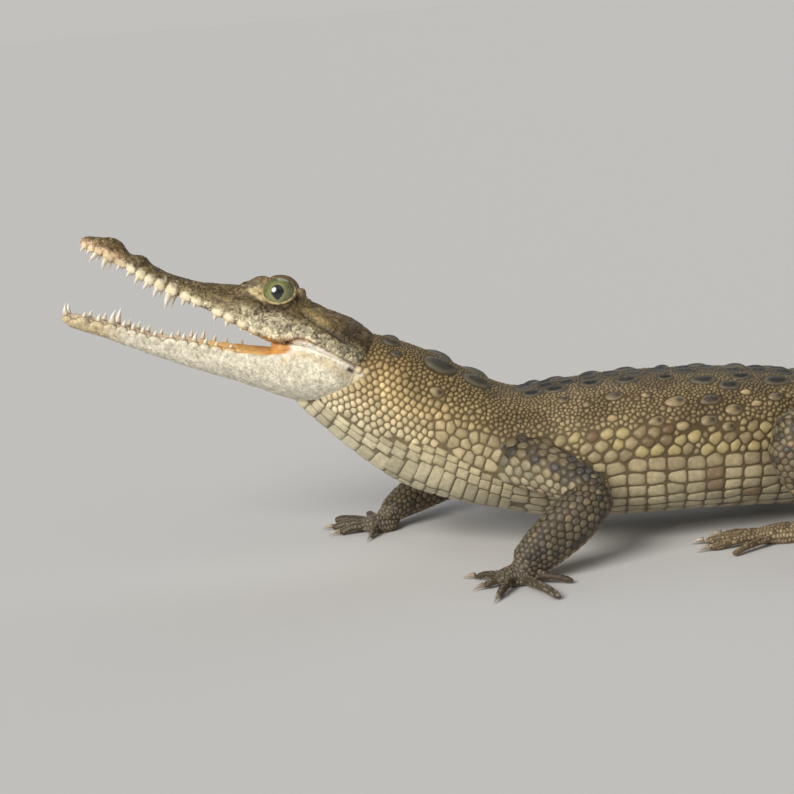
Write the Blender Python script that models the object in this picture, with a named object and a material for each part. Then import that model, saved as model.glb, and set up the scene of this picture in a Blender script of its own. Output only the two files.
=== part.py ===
"""Juvenile crocodile, still life-size model: head raised on the neck with the jaws apart, both
hands and feet planted, tail laid along the floor. Nose towards -X, animal's left side towards -Y.

Every dimension is in millimetres and is scaled to metres as the meshes are written. Sections are
superellipses whose widest line may sit above or below the middle, lofted through named stations.
"""
import math

import bmesh
import bpy
import numpy as np
from mathutils import Vector

# ------------------------------------------------------------------ driving dimensions, mm
MM = 0.001
GAP = 0.30                      # clearance left between pieces that touch in life
FLOOR_DROP = 30.0               # depth of the block that trims everything below the floor

HINGE = (-16.0, 0.0, 78.0)      # middle of the jaw joint
HEAD_YAW = 8.0                  # snout swings towards +Y
HEAD_ROLL = -7.0                # right side of the head sits lower
UPPER_PITCH = 27.0
LOWER_PITCH = 14.0

# cranium and upper jaw: distance ahead of the hinge, half width, roof, widest line, palate,
# roundness of the roof, roundness of the palate
HEAD_STATIONS = (
    (-5.0, 11.0, 11.5, 5.0, 1.2, 2.2, 2.6),
    (-2.5, 17.0, 14.2, 4.6, 0.4, 2.0, 2.6),
    (3.0, 20.8, 16.2, 4.4, 0.2, 1.8, 2.8),
    (12.0, 21.6, 17.0, 4.6, 0.4, 1.75, 2.8),
    (22.0, 20.6, 17.3, 4.2, 0.4, 1.8, 2.8),
    (33.0, 17.8, 17.0, 2.4, -1.8, 1.9, 3.0),
    (44.0, 15.4, 14.8, 1.8, -1.4, 1.9, 3.2),
    (55.0, 12.4, 12.6, 1.4, -1.3, 2.0, 3.4),
    (64.0, 9.8, 9.5, 1.0, -1.4, 2.1, 3.6),
    (73.0, 8.0, 6.3, 0.9, -1.2, 2.1, 3.6),
    (82.0, 7.0, 5.5, 1.3, -0.2, 2.1, 3.6),
    (91.0, 6.4, 5.4, 1.9, 0.0, 2.1, 3.6),
    (98.0, 5.3, 6.9, 2.4, 1.0, 2.1, 3.4),
    (103.0, 4.7, 6.6, 2.6, 1.3, 2.1, 3.4),
    (107.0, 5.8, 9.4, 2.8, 0.9, 2.0, 3.2),
    (112.5, 6.6, 8.8, 3.0, 0.9, 2.1, 3.2),
    (118.0, 5.4, 7.0, 3.0, 0.8, 2.2, 3.0),
    (121.2, 3.4, 5.6, 3.1, 1.2, 2.3, 2.6),
    (122.6, 1.2, 4.2, 3.2, 2.2, 2.2, 2.2),
)
# lower jaw, in its own pitched frame, same columns
JAW_STATIONS = (
    (-8.5, 8.0, -2.0, -4.8, -7.5, 2.4, 2.2),
    (-5.5, 14.0, 3.0, -4.4, -10.0, 2.6, 2.1),
    (0.0, 19.4, 6.0, -4.0, -13.8, 2.6, 2.0),
    (8.0, 21.6, 9.0, -3.8, -17.4, 2.6, 1.9),
    (18.0, 20.9, 9.5, -4.0, -18.6, 2.6, 1.9),
    (28.0, 18.6, 6.6, -4.2, -17.9, 2.6, 1.9),
    (34.0, 17.0, 0.6, -4.6, -17.0, 2.8, 1.9),
    (44.0, 14.4, -1.2, -4.6, -15.6, 3.2, 1.9),
    (56.0, 11.2, -1.8, -4.4, -14.4, 3.4, 1.9),
    (70.0, 8.2, -1.7, -4.2, -12.8, 3.4, 1.9),
    (84.0, 6.2, -2.2, -4.3, -10.9, 3.4, 1.9),
    (96.0, 5.3, -1.3, -3.7, -9.2, 3.2, 2.0),
    (106.0, 5.7, -1.1, -3.2, -7.9, 3.2, 2.0),
    (114.5, 5.4, -0.3, -2.6, -6.9, 3.0, 2.1),
    (119.4, 3.9, 0.2, -1.9, -5.4, 2.8, 2.2),
    (121.8, 1.4, -0.6, -2.0, -3.8, 2.4, 2.2),
)
TOOTH_GIRTH = 0.42              # radius of a tooth at the gum for each millimetre of its length
TOOTH_MIN, TOOTH_MAX = 0.70, 1.40
TOOTH_INSET = 0.45              # gum outside the tooth
# distance along the jaw at gum and tip, and height of the tip in the jaw's own frame
UPPER_TEETH = (
    (119.5, 120.2, -0.7), (116.6, 117.2, -0.6), (113.3, 114.9, -3.3), (109.0, 108.7, -4.4),
    (103.2, 103.4, -2.1), (98.2, 98.7, -3.3), (93.9, 94.7, -4.7), (89.5, 90.5, -5.3),
    (85.0, 85.2, -6.8), (79.6, 78.9, -8.9), (73.2, 72.8, -5.1), (68.4, 68.2, -3.6),
    (58.6, 58.1, -4.9), (53.2, 52.6, -5.2), (46.8, 46.2, -3.9), (42.0, 41.5, -3.4),
)
LOWER_TEETH = (
    (120.4, 121.3, 4.3), (112.2, 111.6, 2.6), (106.0, 105.6, 3.0), (100.3, 99.6, 5.7),
    (95.4, 94.9, 2.2), (91.3, 91.0, 1.8), (87.2, 86.6, 1.2), (81.8, 81.4, 0.4),
    (74.7, 74.7, 0.9), (69.6, 69.4, 1.9), (64.9, 64.4, 2.9), (60.2, 59.6, 1.6),
    (55.4, 55.2, 0.9), (49.2, 48.8, 0.9),
)
TONGUE_STATIONS = (             # flat tongue lying in the floor of the lower jaw
    (34.0, 7.0, -4.2, -6.2, -9.2, 2.6, 2.2),
    (46.0, 8.2, -3.6, -5.8, -9.6, 2.6, 2.2),
    (60.0, 6.6, -3.6, -5.6, -8.8, 2.6, 2.2),
    (76.0, 4.2, -3.7, -5.2, -7.6, 2.6, 2.2),
    (90.0, 2.9, -3.7, -4.8, -6.5, 2.6, 2.2),
    (98.0, 1.2, -3.4, -4.0, -4.9, 2.4, 2.2),
)

EYE_AT = (38.4, 9.0, 15.8)      # ahead of the hinge, out from the middle, up: upper jaw's frame
EYE_RADIUS = 6.9
LID_THICKNESS = 0.8
EYE_OPENING = (6.5, 5.5)        # half length and half height of the gap between the lids

# neck and trunk: distance along, x and z of the back, x and z of the underside, half width,
# roundness of the back, roundness of the belly
NECK_STATIONS = (
    (-24.0, -11.5, 88.5, -41.0, 64.8, 12.5, 2.1, 2.1),
    (-16.0, -7.5, 90.0, -33.5, 57.0, 18.3, 2.1, 2.1),
    (-6.0, 1.5, 87.2, -21.0, 44.2, 21.6, 2.1, 2.1),
    (8.0, 15.0, 80.8, -2.5, 29.0, 24.4, 2.1, 2.1),
    (24.0, 31.5, 71.0, 17.0, 20.4, 27.6, 2.1, 2.2),
    (42.0, 47.0, 63.6, 38.5, 14.6, 31.0, 2.1, 2.3),
)
TRUNK_STATIONS = (
    (62.0, 64.0, 64.2, 60.0, 9.8, 34.0, 2.1, 2.4),
    (86.0, 86.0, 65.4, 85.6, 9.0, 36.4, 2.1, 2.5),
    (113.0, 113.0, 65.0, 113.0, 8.8, 37.0, 2.1, 2.5),
    (140.0, 140.0, 63.2, 140.0, 7.6, 34.0, 2.1, 2.4),
    (165.0, 165.0, 59.4, 165.0, 5.2, 28.4, 2.1, 2.3),
    (185.0, 185.0, 53.6, 185.0, 2.6, 24.4, 2.1, 2.2),
    (205.0, 205.0, 48.0, 205.0, 0.6, 20.8, 2.1, 2.1),
)
# tail: distance along, turn of the path at that point (deg), half width, height of the back
TAIL_STATIONS = (
    (230.0, 6.0, 17.2, 42.0),
    (265.0, 14.0, 13.4, 35.5),
    (305.0, 20.0, 10.4, 29.5),
    (350.0, 16.0, 8.0, 24.0),
    (400.0, 4.0, 6.0, 18.5),
    (450.0, -10.0, 4.3, 13.0),
    (500.0, -22.0, 2.8, 8.2),
    (540.0, -30.0, 1.8, 5.0),
    (562.0, -34.0, 0.9, 3.0),
)
TAIL_SINK = 0.8                 # the tail's underside is trimmed flat this far up
NECK_END = 33.0                 # cuts between the lengths of the body, distance along
TRUNK_END = 208.0
TAIL_BASE_END = 315.0
TAIL_MID_END = 430.0
NUCHAL_PLATES = (               # distance along the neck, side offset, length, width, rise
    (8.0, 5.2, 6.0, 4.6, 2.6), (8.0, 14.0, 4.2, 3.4, 1.8), (20.0, 5.0, 5.8, 4.6, 2.6),
    (-10.0, 4.4, 3.0, 2.4, 1.8),
)
DOUBLE_CREST = (217.0, 368.0, 9)   # paired crest plates: first, last, how many
SINGLE_CREST = (388.0, 548.0, 9)   # single row behind them
CREST_HEIGHT = 5.6

# limbs: points with half thickness across and along the hint, from root to end
LEFT_UPPER_ARM = ((38.0, -18.0, 39.0, 9.0, 10.5), (52.0, -33.0, 38.0, 9.4, 10.2),
                  (64.0, -43.0, 34.0, 8.2, 8.8), (73.0, -50.0, 29.0, 7.2, 7.4))
LEFT_FOREARM = ((73.0, -50.5, 28.0, 8.0, 8.4), (63.0, -55.0, 20.8, 8.4, 10.4),
                (52.0, -59.5, 13.4, 7.4, 9.4), (44.5, -62.0, 8.6, 6.4, 7.2))
RIGHT_UPPER_ARM = ((42.0, 18.0, 32.0, 9.0, 10.0), (34.0, 33.0, 25.0, 9.2, 9.8),
                   (25.0, 43.0, 18.0, 8.8, 9.0), (17.5, 48.0, 13.5, 7.8, 8.2))
RIGHT_FOREARM = ((16.5, 47.5, 13.4, 7.8, 8.2), (7.5, 42.0, 12.2, 7.6, 8.4),
                 (-0.5, 35.5, 10.2, 6.8, 7.2), (-6.0, 31.0, 8.0, 5.8, 5.6))
LEFT_THIGH = ((186.0, -12.0, 36.0, 10.0, 14.0), (173.0, -29.0, 40.0, 11.5, 14.6),
              (160.0, -40.5, 42.5, 10.8, 13.6), (150.0, -47.0, 42.5, 9.0, 11.0))
LEFT_SHANK = ((149.5, -47.5, 40.5, 8.8, 9.6), (155.0, -47.5, 29.0, 8.2, 9.6),
              (161.5, -44.0, 17.0, 6.2, 7.0), (164.5, -41.0, 8.5, 5.2, 5.4))
RIGHT_THIGH = ((186.0, 12.0, 34.0, 10.0, 14.0), (175.0, 29.0, 34.0, 11.5, 14.0),
               (164.0, 42.0, 33.0, 10.8, 12.0), (155.0, 50.5, 31.0, 9.0, 10.0))
RIGHT_SHANK = ((154.5, 51.0, 29.5, 8.6, 9.0), (159.0, 52.5, 21.5, 8.2, 8.8),
               (165.0, 51.5, 13.5, 6.2, 6.8), (168.5, 49.5, 8.0, 5.2, 5.4))
HAND_PALM = 2.9                 # half thickness of the palm
HAND_LENGTH, HAND_WIDTH = 8.4, 6.6
FOOT_LENGTH, FOOT_WIDTH = 15.0, 7.0
DIGIT_RADIUS = 2.1
CLAW_LENGTH, CLAW_RADIUS = 4.6, 1.15
# hands and feet: palm centre, direction of the palm (deg from -X towards -Y), digit tips
LEFT_HAND = ((39.5, -62.5), 20.0,
             ((21.5, -52.5), (24.0, -68.0), (30.0, -84.0), (53.5, -88.0), (60.5, -69.5)))
RIGHT_HAND = ((-12.0, 28.0), 4.0,
              ((-17.0, 13.0), (-32.0, 25.0), (-35.0, 35.0), (-31.0, 46.0), (-17.0, 51.0)))
LEFT_FOOT = ((149.0, -37.5), 2.0,
             ((122.0, -24.5), (113.5, -33.0), (114.0, -44.0), (124.0, -54.0)))
RIGHT_FOOT = ((153.0, 48.0), -6.0,
              ((126.5, 33.5), (117.0, 42.0), (116.5, 54.5), (126.0, 66.0)))

CLAWED_HAND = ("inner", "second", "third")
CLAWED_FOOT = ("inner", "second", "third")

# colour, roughness of each kind of surface
SKINS = {
    "hide": ((0.235, 0.190, 0.095, 1.0), 0.55),
    "belly": ((0.520, 0.470, 0.300, 1.0), 0.50),
    "eye": ((0.200, 0.230, 0.100, 1.0), 0.12),
    "tongue": ((0.720, 0.330, 0.140, 1.0), 0.45),
    "claw": ((0.250, 0.220, 0.190, 1.0), 0.35),
}


# ------------------------------------------------------------------ interpolation and sections
def through(rows, s):
    """Catmull-Rom values of every column of rows at distances s (first column)."""
    table = np.array(rows, float)
    knots = table[:, 0]
    s = np.clip(np.asarray(s, float), knots[0], knots[-1])
    seg = np.clip(np.searchsorted(knots, s, side="right") - 1, 0, len(knots) - 2)
    left, right = knots[seg], knots[seg + 1]
    t = ((s - left) / (right - left))[:, None]
    slope = np.gradient(table, knots, axis=0)
    width = (right - left)[:, None]
    a, b = table[seg], table[seg + 1]
    ma, mb = slope[seg] * width, slope[seg + 1] * width
    return ((2 * t**3 - 3 * t**2 + 1) * a + (t**3 - 2 * t**2 + t) * ma
            + (-2 * t**3 + 3 * t**2) * b + (t**3 - t**2) * mb)


def signed_power(value, power):
    return np.sign(value) * np.abs(value) ** power


def outline(half, rise, drop, n_top, n_low, count):
    """One section: count points (across, up) about its widest line."""
    angle = np.linspace(0.0, 2 * math.pi, count, endpoint=False)
    n = np.where(np.cos(angle) >= 0, n_top, n_low)
    reach = np.where(np.cos(angle) >= 0, rise, drop)
    return half * signed_power(np.sin(angle), 2 / n), reach * signed_power(np.cos(angle), 2 / n)


def mesh_object(name, points, faces):
    mesh = bpy.data.meshes.new(name)
    mesh.from_pydata([tuple(float(c) * MM for c in p) for p in points], [], faces)
    obj = bpy.data.objects.new(name, mesh)
    bpy.context.scene.collection.objects.link(obj)
    bm = bmesh.new()
    bm.from_mesh(mesh)
    bmesh.ops.remove_doubles(bm, verts=bm.verts, dist=1e-7)
    bmesh.ops.recalc_face_normals(bm, faces=bm.faces)
    bm.to_mesh(mesh)
    bm.free()
    return obj


def skin_rings(name, rings):
    """Closed solid through a list of equally counted rings."""
    count = len(rings[0])
    points = [p for ring in rings for p in ring]
    faces = [tuple(range(count))[::-1], tuple(range(len(points) - count, len(points)))]
    for r in range(len(rings) - 1):
        for k in range(count):
            a = r * count + k
            b = r * count + (k + 1) % count
            faces.append((a, b, b + count, a + count))
    return mesh_object(name, points, faces)


# ------------------------------------------------------------------ head frames
def head_axes(pitch):
    """Rows: forwards, towards the right side, up, of the frame pitched at the hinge."""
    p, y, r = (math.radians(v) for v in (pitch, -HEAD_YAW, HEAD_ROLL))
    turn = np.array([[math.cos(y), -math.sin(y), 0], [math.sin(y), math.cos(y), 0], [0, 0, 1]])
    tip = np.array([[math.cos(p), 0, math.sin(p)], [0, 1, 0], [-math.sin(p), 0, math.cos(p)]])
    roll = np.array([[1, 0, 0], [0, math.cos(r), -math.sin(r)], [0, math.sin(r), math.cos(r)]])
    full = turn @ tip @ roll
    return np.array([-full[:, 0], full[:, 1], full[:, 2]])


def head_point(axes, ahead, across, up):
    return np.array(HINGE) + ahead * axes[0] + across * axes[1] + up * axes[2]


def jaw_loft(name, rows, pitch, steps, count, grow=0.0):
    axes = head_axes(pitch)
    rings = []
    for row in through(rows, np.array(steps)):
        ahead, half, top, mid, low, n_top, n_low = row
        across, up = outline(half + grow, top - mid + grow, mid - low + grow, n_top, n_low, count)
        rings.append([head_point(axes, ahead, a, mid + u) for a, u in zip(across, up)])
    if grow:
        for ring, sign in ((rings[0], -1), (rings[-1], 1)):
            for k, p in enumerate(ring):
                ring[k] = p + sign * grow * axes[0]
    return skin_rings(name, rings)


# ------------------------------------------------------------------ body frame
def body_table():
    """Rows: distance, centre x y z, lean, turn, half width, rise, drop, roundness top and low."""
    rows = []
    for s, xt, zt, xb, zb, half, n_top, n_low in NECK_STATIONS + TRUNK_STATIONS:
        rise = math.hypot(xt - xb, zt - zb) / 2
        lean = math.atan2(xt - xb, zt - zb)
        rows.append((s, (xt + xb) / 2, 0.0, (zt + zb) / 2, lean, 0.0, half, rise, rise,
                     n_top, n_low))
    x, y, last, way = rows[-1][1], 0.0, rows[-1][0], 0.0
    for s, turn, half, height in TAIL_STATIONS:
        mean = (way + math.radians(turn)) / 2
        x += (s - last) * math.cos(mean)
        y += (s - last) * math.sin(mean)
        way, last = math.radians(turn), s
        low = -TAIL_SINK
        rows.append((s, x, y, (height + low) / 2, 0.0, way, half, (height - low) / 2,
                     (height - low) / 2, 2.0, 2.2))
    return rows


def body_frames(steps):
    frames = []
    for row in through(body_table(), np.array(steps)):
        s, x, y, z, lean, turn, half, rise, drop, n_top, n_low = row
        side = np.array([-math.sin(turn), math.cos(turn), 0.0])
        up = np.array([math.sin(lean) * math.cos(turn), math.sin(lean) * math.sin(turn),
                       math.cos(lean)])
        frames.append((np.array([x, y, z]), side, up, half, rise, drop, n_top, n_low))
    return frames


def body_loft(name, steps, count, grow=0.0):
    rings = []
    for centre, side, up, half, rise, drop, n_top, n_low in body_frames(steps):
        across, high = outline(half + grow, rise + grow, drop + grow, n_top, n_low, count)
        rings.append([centre + a * side + h * up for a, h in zip(across, high)])
    return skin_rings(name, rings)


def spread(first, last, count):
    return [first + (last - first) * k / (count - 1) for k in range(count)]


# ------------------------------------------------------------------ Booleans
def closed_volume(mesh):
    """Volume of a mesh in cubic millimetres, or nothing where it isn't one closed surface."""
    bm = bmesh.new()
    bm.from_mesh(mesh)
    sound = len(bm.faces) > 3 and all(e.is_manifold for e in bm.edges)
    volume = bm.calc_volume(signed=True) / MM**3 if sound else None
    bm.free()
    return volume


def boolean_result(target, cutter, operation, solver, own):
    mod = target.modifiers.new("cut", "BOOLEAN")
    mod.operation = operation
    mod.solver = solver
    mod.use_self = own
    mod.object = cutter
    bpy.context.view_layer.update()
    graph = bpy.context.evaluated_depsgraph_get()
    mesh = bpy.data.meshes.new_from_object(target.evaluated_get(graph))
    target.modifiers.clear()
    return mesh


def combine(target, cutter, operation):
    """Applies one Boolean, going on to the next solver where a result isn't closed."""
    before = closed_volume(target.data)
    block = closed_volume(cutter.data)
    mesh = None
    for solver, own in (("EXACT", False), ("EXACT", True), ("MANIFOLD", False)):
        mesh = boolean_result(target, cutter, operation, solver, own)
        after = closed_volume(mesh)
        if after is None or before is None:
            continue
        limits = (before - block, before) if operation == "DIFFERENCE" else \
            (before, before + block)
        if limits[0] - 0.5 <= after <= limits[1] + 0.5 and after > 0.1:
            break
    old = target.data
    target.data = mesh
    bpy.data.meshes.remove(old)
    mesh.name = target.name
    bpy.data.objects.remove(cutter, do_unlink=True)
    return target


def tidy(obj):
    """Welds what the Booleans left very close together, where the solid stays closed."""
    for near in (0.02, 0.008):
        bm = bmesh.new()
        bm.from_mesh(obj.data)
        bmesh.ops.remove_doubles(bm, verts=bm.verts, dist=near * MM)
        bmesh.ops.dissolve_degenerate(bm, edges=bm.edges, dist=near * MM / 2)
        bmesh.ops.recalc_face_normals(bm, faces=bm.faces)
        trial = bpy.data.meshes.new("trial")
        bm.to_mesh(trial)
        bm.free()
        if closed_volume(trial):
            old = obj.data
            obj.data = trial
            bpy.data.meshes.remove(old)
            trial.name = obj.name
            break
    return obj


def join_all(name, objects):
    """One object of several separate closed shells."""
    bm = bmesh.new()
    for obj in objects:
        bm.from_mesh(obj.data)
    mesh = bpy.data.meshes.new(name)
    bm.to_mesh(mesh)
    bm.free()
    joined = bpy.data.objects.new(name, mesh)
    bpy.context.scene.collection.objects.link(joined)
    for obj in objects:
        bpy.data.objects.remove(obj, do_unlink=True)
    return joined


def trim_floor(obj):
    corners = [(x, y, z) for z in (-FLOOR_DROP, 0.0) for x, y in
               ((-300, -300), (700, -300), (700, 300), (-300, 300))]
    faces = [(3, 2, 1, 0), (4, 5, 6, 7), (0, 1, 5, 4), (1, 2, 6, 5), (2, 3, 7, 6), (3, 0, 4, 7)]
    return combine(obj, mesh_object("floor_block", corners, faces), "DIFFERENCE")


# ------------------------------------------------------------------ small solids
def ellipsoid(name, centre, axes, radii, around=14, along=9):
    """Ellipsoid with its poles on the third axis."""
    points, faces = [], []
    for i in range(1, along):
        pole = math.pi * i / along
        for k in range(around):
            turn = 2 * math.pi * k / around
            local = (radii[0] * math.sin(pole) * math.cos(turn),
                     radii[1] * math.sin(pole) * math.sin(turn), radii[2] * math.cos(pole))
            points.append(sum((c * np.array(a) for c, a in zip(local, axes)), np.array(centre)))
    points.append(np.array(centre) + radii[2] * np.array(axes[2]))
    points.append(np.array(centre) - radii[2] * np.array(axes[2]))
    top, bottom = len(points) - 2, len(points) - 1
    for k in range(around):
        j = (k + 1) % around
        faces.append((top, k, j))
        faces.append((bottom, (along - 2) * around + j, (along - 2) * around + k))
        for i in range(along - 2):
            faces.append((i * around + k, (i + 1) * around + k, (i + 1) * around + j,
                          i * around + j))
    return mesh_object(name, points, faces)


def spike(name, base, tip, radius, sides=5, middle=None, slim=1.0):
    """Cone from base to tip by way of a middle ring, slimmer than the base by the share slim."""
    base, tip = np.array(base, float), np.array(tip, float)
    axis = Vector(tip - base).normalized()
    across = axis.orthogonal().normalized()
    other = axis.cross(across)
    points, faces = [], []
    levels = [(base, radius)]
    if middle is not None:
        levels.append((np.array(middle), radius * slim))
    for centre, r in levels:
        for k in range(sides):
            turn = 2 * math.pi * k / sides
            points.append(centre + r * (math.cos(turn) * np.array(across)
                                        + math.sin(turn) * np.array(other)))
    points.append(tip)
    faces.append(tuple(range(sides))[::-1])
    last = (len(levels) - 1) * sides
    for k in range(sides):
        j = (k + 1) % sides
        if last:
            faces.append((k, j, sides + j, sides + k))
        faces.append((last + k, last + j, last + sides))
    return mesh_object(name, points, faces)


def tube(name, rows, count=10, grow=0.0, hint=(0.0, 0.0, 1.0), cap=0.75, between=1):
    """Round-ended limb solid through points with half thickness across and along the hint."""
    table = [(float(k),) + tuple(r) for k, r in enumerate(rows)]
    steps = spread(0.0, len(rows) - 1.0, (1 + between) * (len(rows) - 1) + 1)
    values = through(table, np.array(steps))
    centres = values[:, 1:4]
    tangents = np.gradient(centres, axis=0)
    tangents /= np.linalg.norm(tangents, axis=1)[:, None]
    rings = []

    def add(centre, tangent, wide, tall):
        side = np.cross(tangent, np.array(hint))
        side /= np.linalg.norm(side)
        up = np.cross(side, tangent)
        across, high = outline(wide + grow, tall + grow, tall + grow, 2.1, 2.1, count)
        rings.append([centre + a * side + h * up for a, h in zip(across, high)])

    bevels = (0.60, 1.15) if count > 8 else (0.95,)
    for end in (0, -1):
        sign = -1 if end == 0 else 1
        wide, tall = values[end, 4], values[end, 5]
        reach = min(wide, tall) * cap + grow
        shells = [(centres[end] + sign * reach * tangents[end] * math.sin(a),
                   wide * math.cos(a), tall * math.cos(a)) for a in bevels]
        if end == 0:
            for c, w, t in shells[::-1]:
                add(c, tangents[0], w, t)
            for k in range(len(steps)):
                add(centres[k], tangents[k], values[k, 4], values[k, 5])
        else:
            for c, w, t in shells:
                add(c, tangents[-1], w, t)
    return skin_rings(name, rings)


# ------------------------------------------------------------------ head
def gum_half(rows, ahead):
    return float(through(rows, np.array([ahead]))[0][1])


def teeth(name, rows, jaw_rows, pitch, up_sign):
    """Both tooth rows of one jaw, rooted inside the gum."""
    axes = head_axes(pitch)
    cones = []
    for gum, tip, height in rows:
        row = through(jaw_rows, np.array([gum]))[0]
        edge = row[4] if up_sign < 0 else row[2]
        length = abs(height - edge)
        radius = min(max(TOOTH_GIRTH * length, TOOTH_MIN), TOOTH_MAX)
        sides = 4 if length < 5.0 else 5
        for side in (-1, 1):
            out = side * max(row[1] - radius - TOOTH_INSET, 1.2)
            root = head_point(axes, gum, out * 0.94, edge - up_sign * 3.2)
            neck = head_point(axes, gum, out, edge - up_sign * 0.4)
            end = head_point(axes, tip, out, height)
            cones.append(spike(name, root, end, radius, sides, neck))
    return join_all(name, cones)


def eye_axes(side):
    """Forwards, up and outwards of the eye on one side (-1 is the left)."""
    axes = head_axes(UPPER_PITCH)
    out = side * axes[1]
    return (axes[0], axes[2], out)


def eye_centre(side):
    ahead, out, up = EYE_AT
    return head_point(head_axes(UPPER_PITCH), ahead, side * out, up)


def eye_window(side):
    """Oval plug that opens the lids outwards."""
    forward, up, out = eye_axes(side)
    centre = eye_centre(side)
    rings = []
    for reach, size in ((2.4, 0.9), (4.0, 1.0), (12.0, 1.25)):
        ring = []
        for k in range(10):
            turn = 2 * math.pi * k / 10
            ring.append(centre + reach * out + size * (
                EYE_OPENING[0] * math.cos(turn) * forward
                + EYE_OPENING[1] * math.sin(turn) * up))
        rings.append(ring)
    return skin_rings("window", rings)


def build_head():
    steps = [r[0] for r in HEAD_STATIONS]
    head = jaw_loft("head", HEAD_STATIONS, UPPER_PITCH, steps, 16)
    for side in (-1, 1):
        lid = EYE_RADIUS + LID_THICKNESS
        mound = ellipsoid("mound", eye_centre(side), eye_axes(side),
                          (lid + 1.4, lid, lid * 0.93), 12, 6)
        combine(head, mound, "UNION")
    for side in (-1, 1):
        socket = EYE_RADIUS + GAP
        combine(head, ellipsoid("socket", eye_centre(side), eye_axes(side), (socket,) * 3, 10, 6),
                "DIFFERENCE")
        combine(head, eye_window(side), "DIFFERENCE")
    combine(head, teeth("teeth", UPPER_TEETH, HEAD_STATIONS, UPPER_PITCH, -1), "UNION")
    return tidy(head)


def grown_head():
    return jaw_loft("head_cutter", HEAD_STATIONS, UPPER_PITCH, [r[0] for r in HEAD_STATIONS], 16,
                    GAP)


def grown_jaw():
    return jaw_loft("jaw_cutter", JAW_STATIONS, LOWER_PITCH, [r[0] for r in JAW_STATIONS], 14, GAP)


def build_jaw():
    jaw = jaw_loft("lower_jaw", JAW_STATIONS, LOWER_PITCH, [r[0] for r in JAW_STATIONS], 14)
    combine(jaw, grown_head(), "DIFFERENCE")
    combine(jaw, teeth("teeth", LOWER_TEETH, JAW_STATIONS, LOWER_PITCH, 1), "UNION")
    lifted = tuple((r[0], r[1], r[2] + 9.0) + r[3:] for r in TONGUE_STATIONS)
    steps = [r[0] for r in TONGUE_STATIONS]
    combine(jaw, jaw_loft("trough", lifted, LOWER_PITCH, steps, 8, GAP), "DIFFERENCE")
    return tidy(jaw)


def build_tongue():
    steps = [r[0] for r in TONGUE_STATIONS]
    return jaw_loft("tongue", TONGUE_STATIONS, LOWER_PITCH, steps, 8)


def build_eye(side, name):
    return ellipsoid(name, eye_centre(side), eye_axes(side), (EYE_RADIUS,) * 3, 10, 6)


# ------------------------------------------------------------------ body
def on_back(s, offset, lift=0.0):
    """Point of the back at a side offset, with the outward direction and the way along."""
    centre, side, up, half, rise, drop, n_top, n_low = body_frames([s])[0]
    ahead = body_frames([s + 1.0])[0][0] - centre
    ahead /= np.linalg.norm(ahead)
    share = min(abs(offset) / half, 0.98)
    high = rise * (1 - share**n_top) ** (1 / n_top)
    slope = (share / max(high / rise, 0.05)) ** (n_top - 1) * rise / half
    normal = up + math.copysign(min(slope, 4.0), offset) * side
    normal /= np.linalg.norm(normal)
    return centre + offset * side + high * up + lift * normal, normal, ahead


def plate(s, offset, length, width, rise):
    point, normal, ahead = on_back(s, offset)
    across = np.cross(normal, ahead)
    across /= np.linalg.norm(across)
    ahead = np.cross(across, normal)
    return ellipsoid("plate", point, (ahead, across, normal), (length, width, rise), 7, 4)


def build_neck():
    steps = [r[0] for r in NECK_STATIONS if r[0] < NECK_END - 4] + [1.0, 16.0, NECK_END]
    neck = body_loft("neck", sorted(steps), 20)
    combine(neck, grown_head(), "DIFFERENCE")
    combine(neck, grown_jaw(), "DIFFERENCE")
    for s, offset, length, width, rise in NUCHAL_PLATES:
        for side in (-1, 1):
            combine(neck, plate(s, side * offset, length, width, rise), "UNION")
    return tidy(neck)


def build_trunk():
    first = NECK_END + GAP
    return tidy(body_loft("trunk", spread(first, TRUNK_END, 13), 20))


def crest_plate(s, offset, height, length, thick, lean):
    """Upright saw-tooth plate with a rounded trailing edge, rooted in the back."""
    point, normal, ahead = on_back(s, offset)
    if offset == 0.0:
        across = np.cross(np.array([0.0, 0.0, 1.0]), ahead)
    else:
        across = np.cross(normal, ahead)
    across /= np.linalg.norm(across)
    up = np.array([0.0, 0.0, 1.0]) + lean * math.copysign(1.0, offset) * across * -1.0 \
        if offset else np.array([0.0, 0.0, 1.0])
    up = up / np.linalg.norm(up)
    root = point - 1.6 * up
    profile = ((-0.5, 0.0), (0.5, 0.0), (0.42, 1.0), (-0.12, 0.75))
    points = []
    for side in (-1, 1):
        for along, high in profile:
            slim = thick * (1.0 - 0.55 * high)
            points.append(root + along * length * ahead + high * (height + 1.6) * up
                          + side * slim * across)
    n = len(profile)
    faces = [tuple(range(n))[::-1], tuple(range(n, 2 * n))]
    for k in range(n):
        j = (k + 1) % n
        faces.append((k, j, n + j, n + k))
    return mesh_object("crest", points, faces)


def crest_plates(first, last):
    """Crest plates whose foot lies wholly between two distances along the tail."""
    found = []
    start, stop, many = DOUBLE_CREST
    pitch = (stop - start) / (many - 1)
    for k in range(many):
        s = start + k * pitch
        if first + pitch * 0.5 < s < last - pitch * 0.5:
            grown = 0.45 + 0.55 * k / (many - 1)
            half = float(through(body_table(), np.array([s]))[0][6])
            for side in (-1, 1):
                found.append((s, side * half * (0.50 - 0.27 * k / (many - 1)),
                              CREST_HEIGHT * grown, pitch * 0.86))
    start, stop, many = SINGLE_CREST
    pitch = (stop - start) / (many - 1)
    for k in range(many):
        s = start + k * pitch
        if first + pitch * 0.5 < s < last - pitch * 0.5:
            found.append((s, 0.0, CREST_HEIGHT * (1.08 - 0.72 * k / (many - 1)), pitch * 0.86))
    return found


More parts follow.
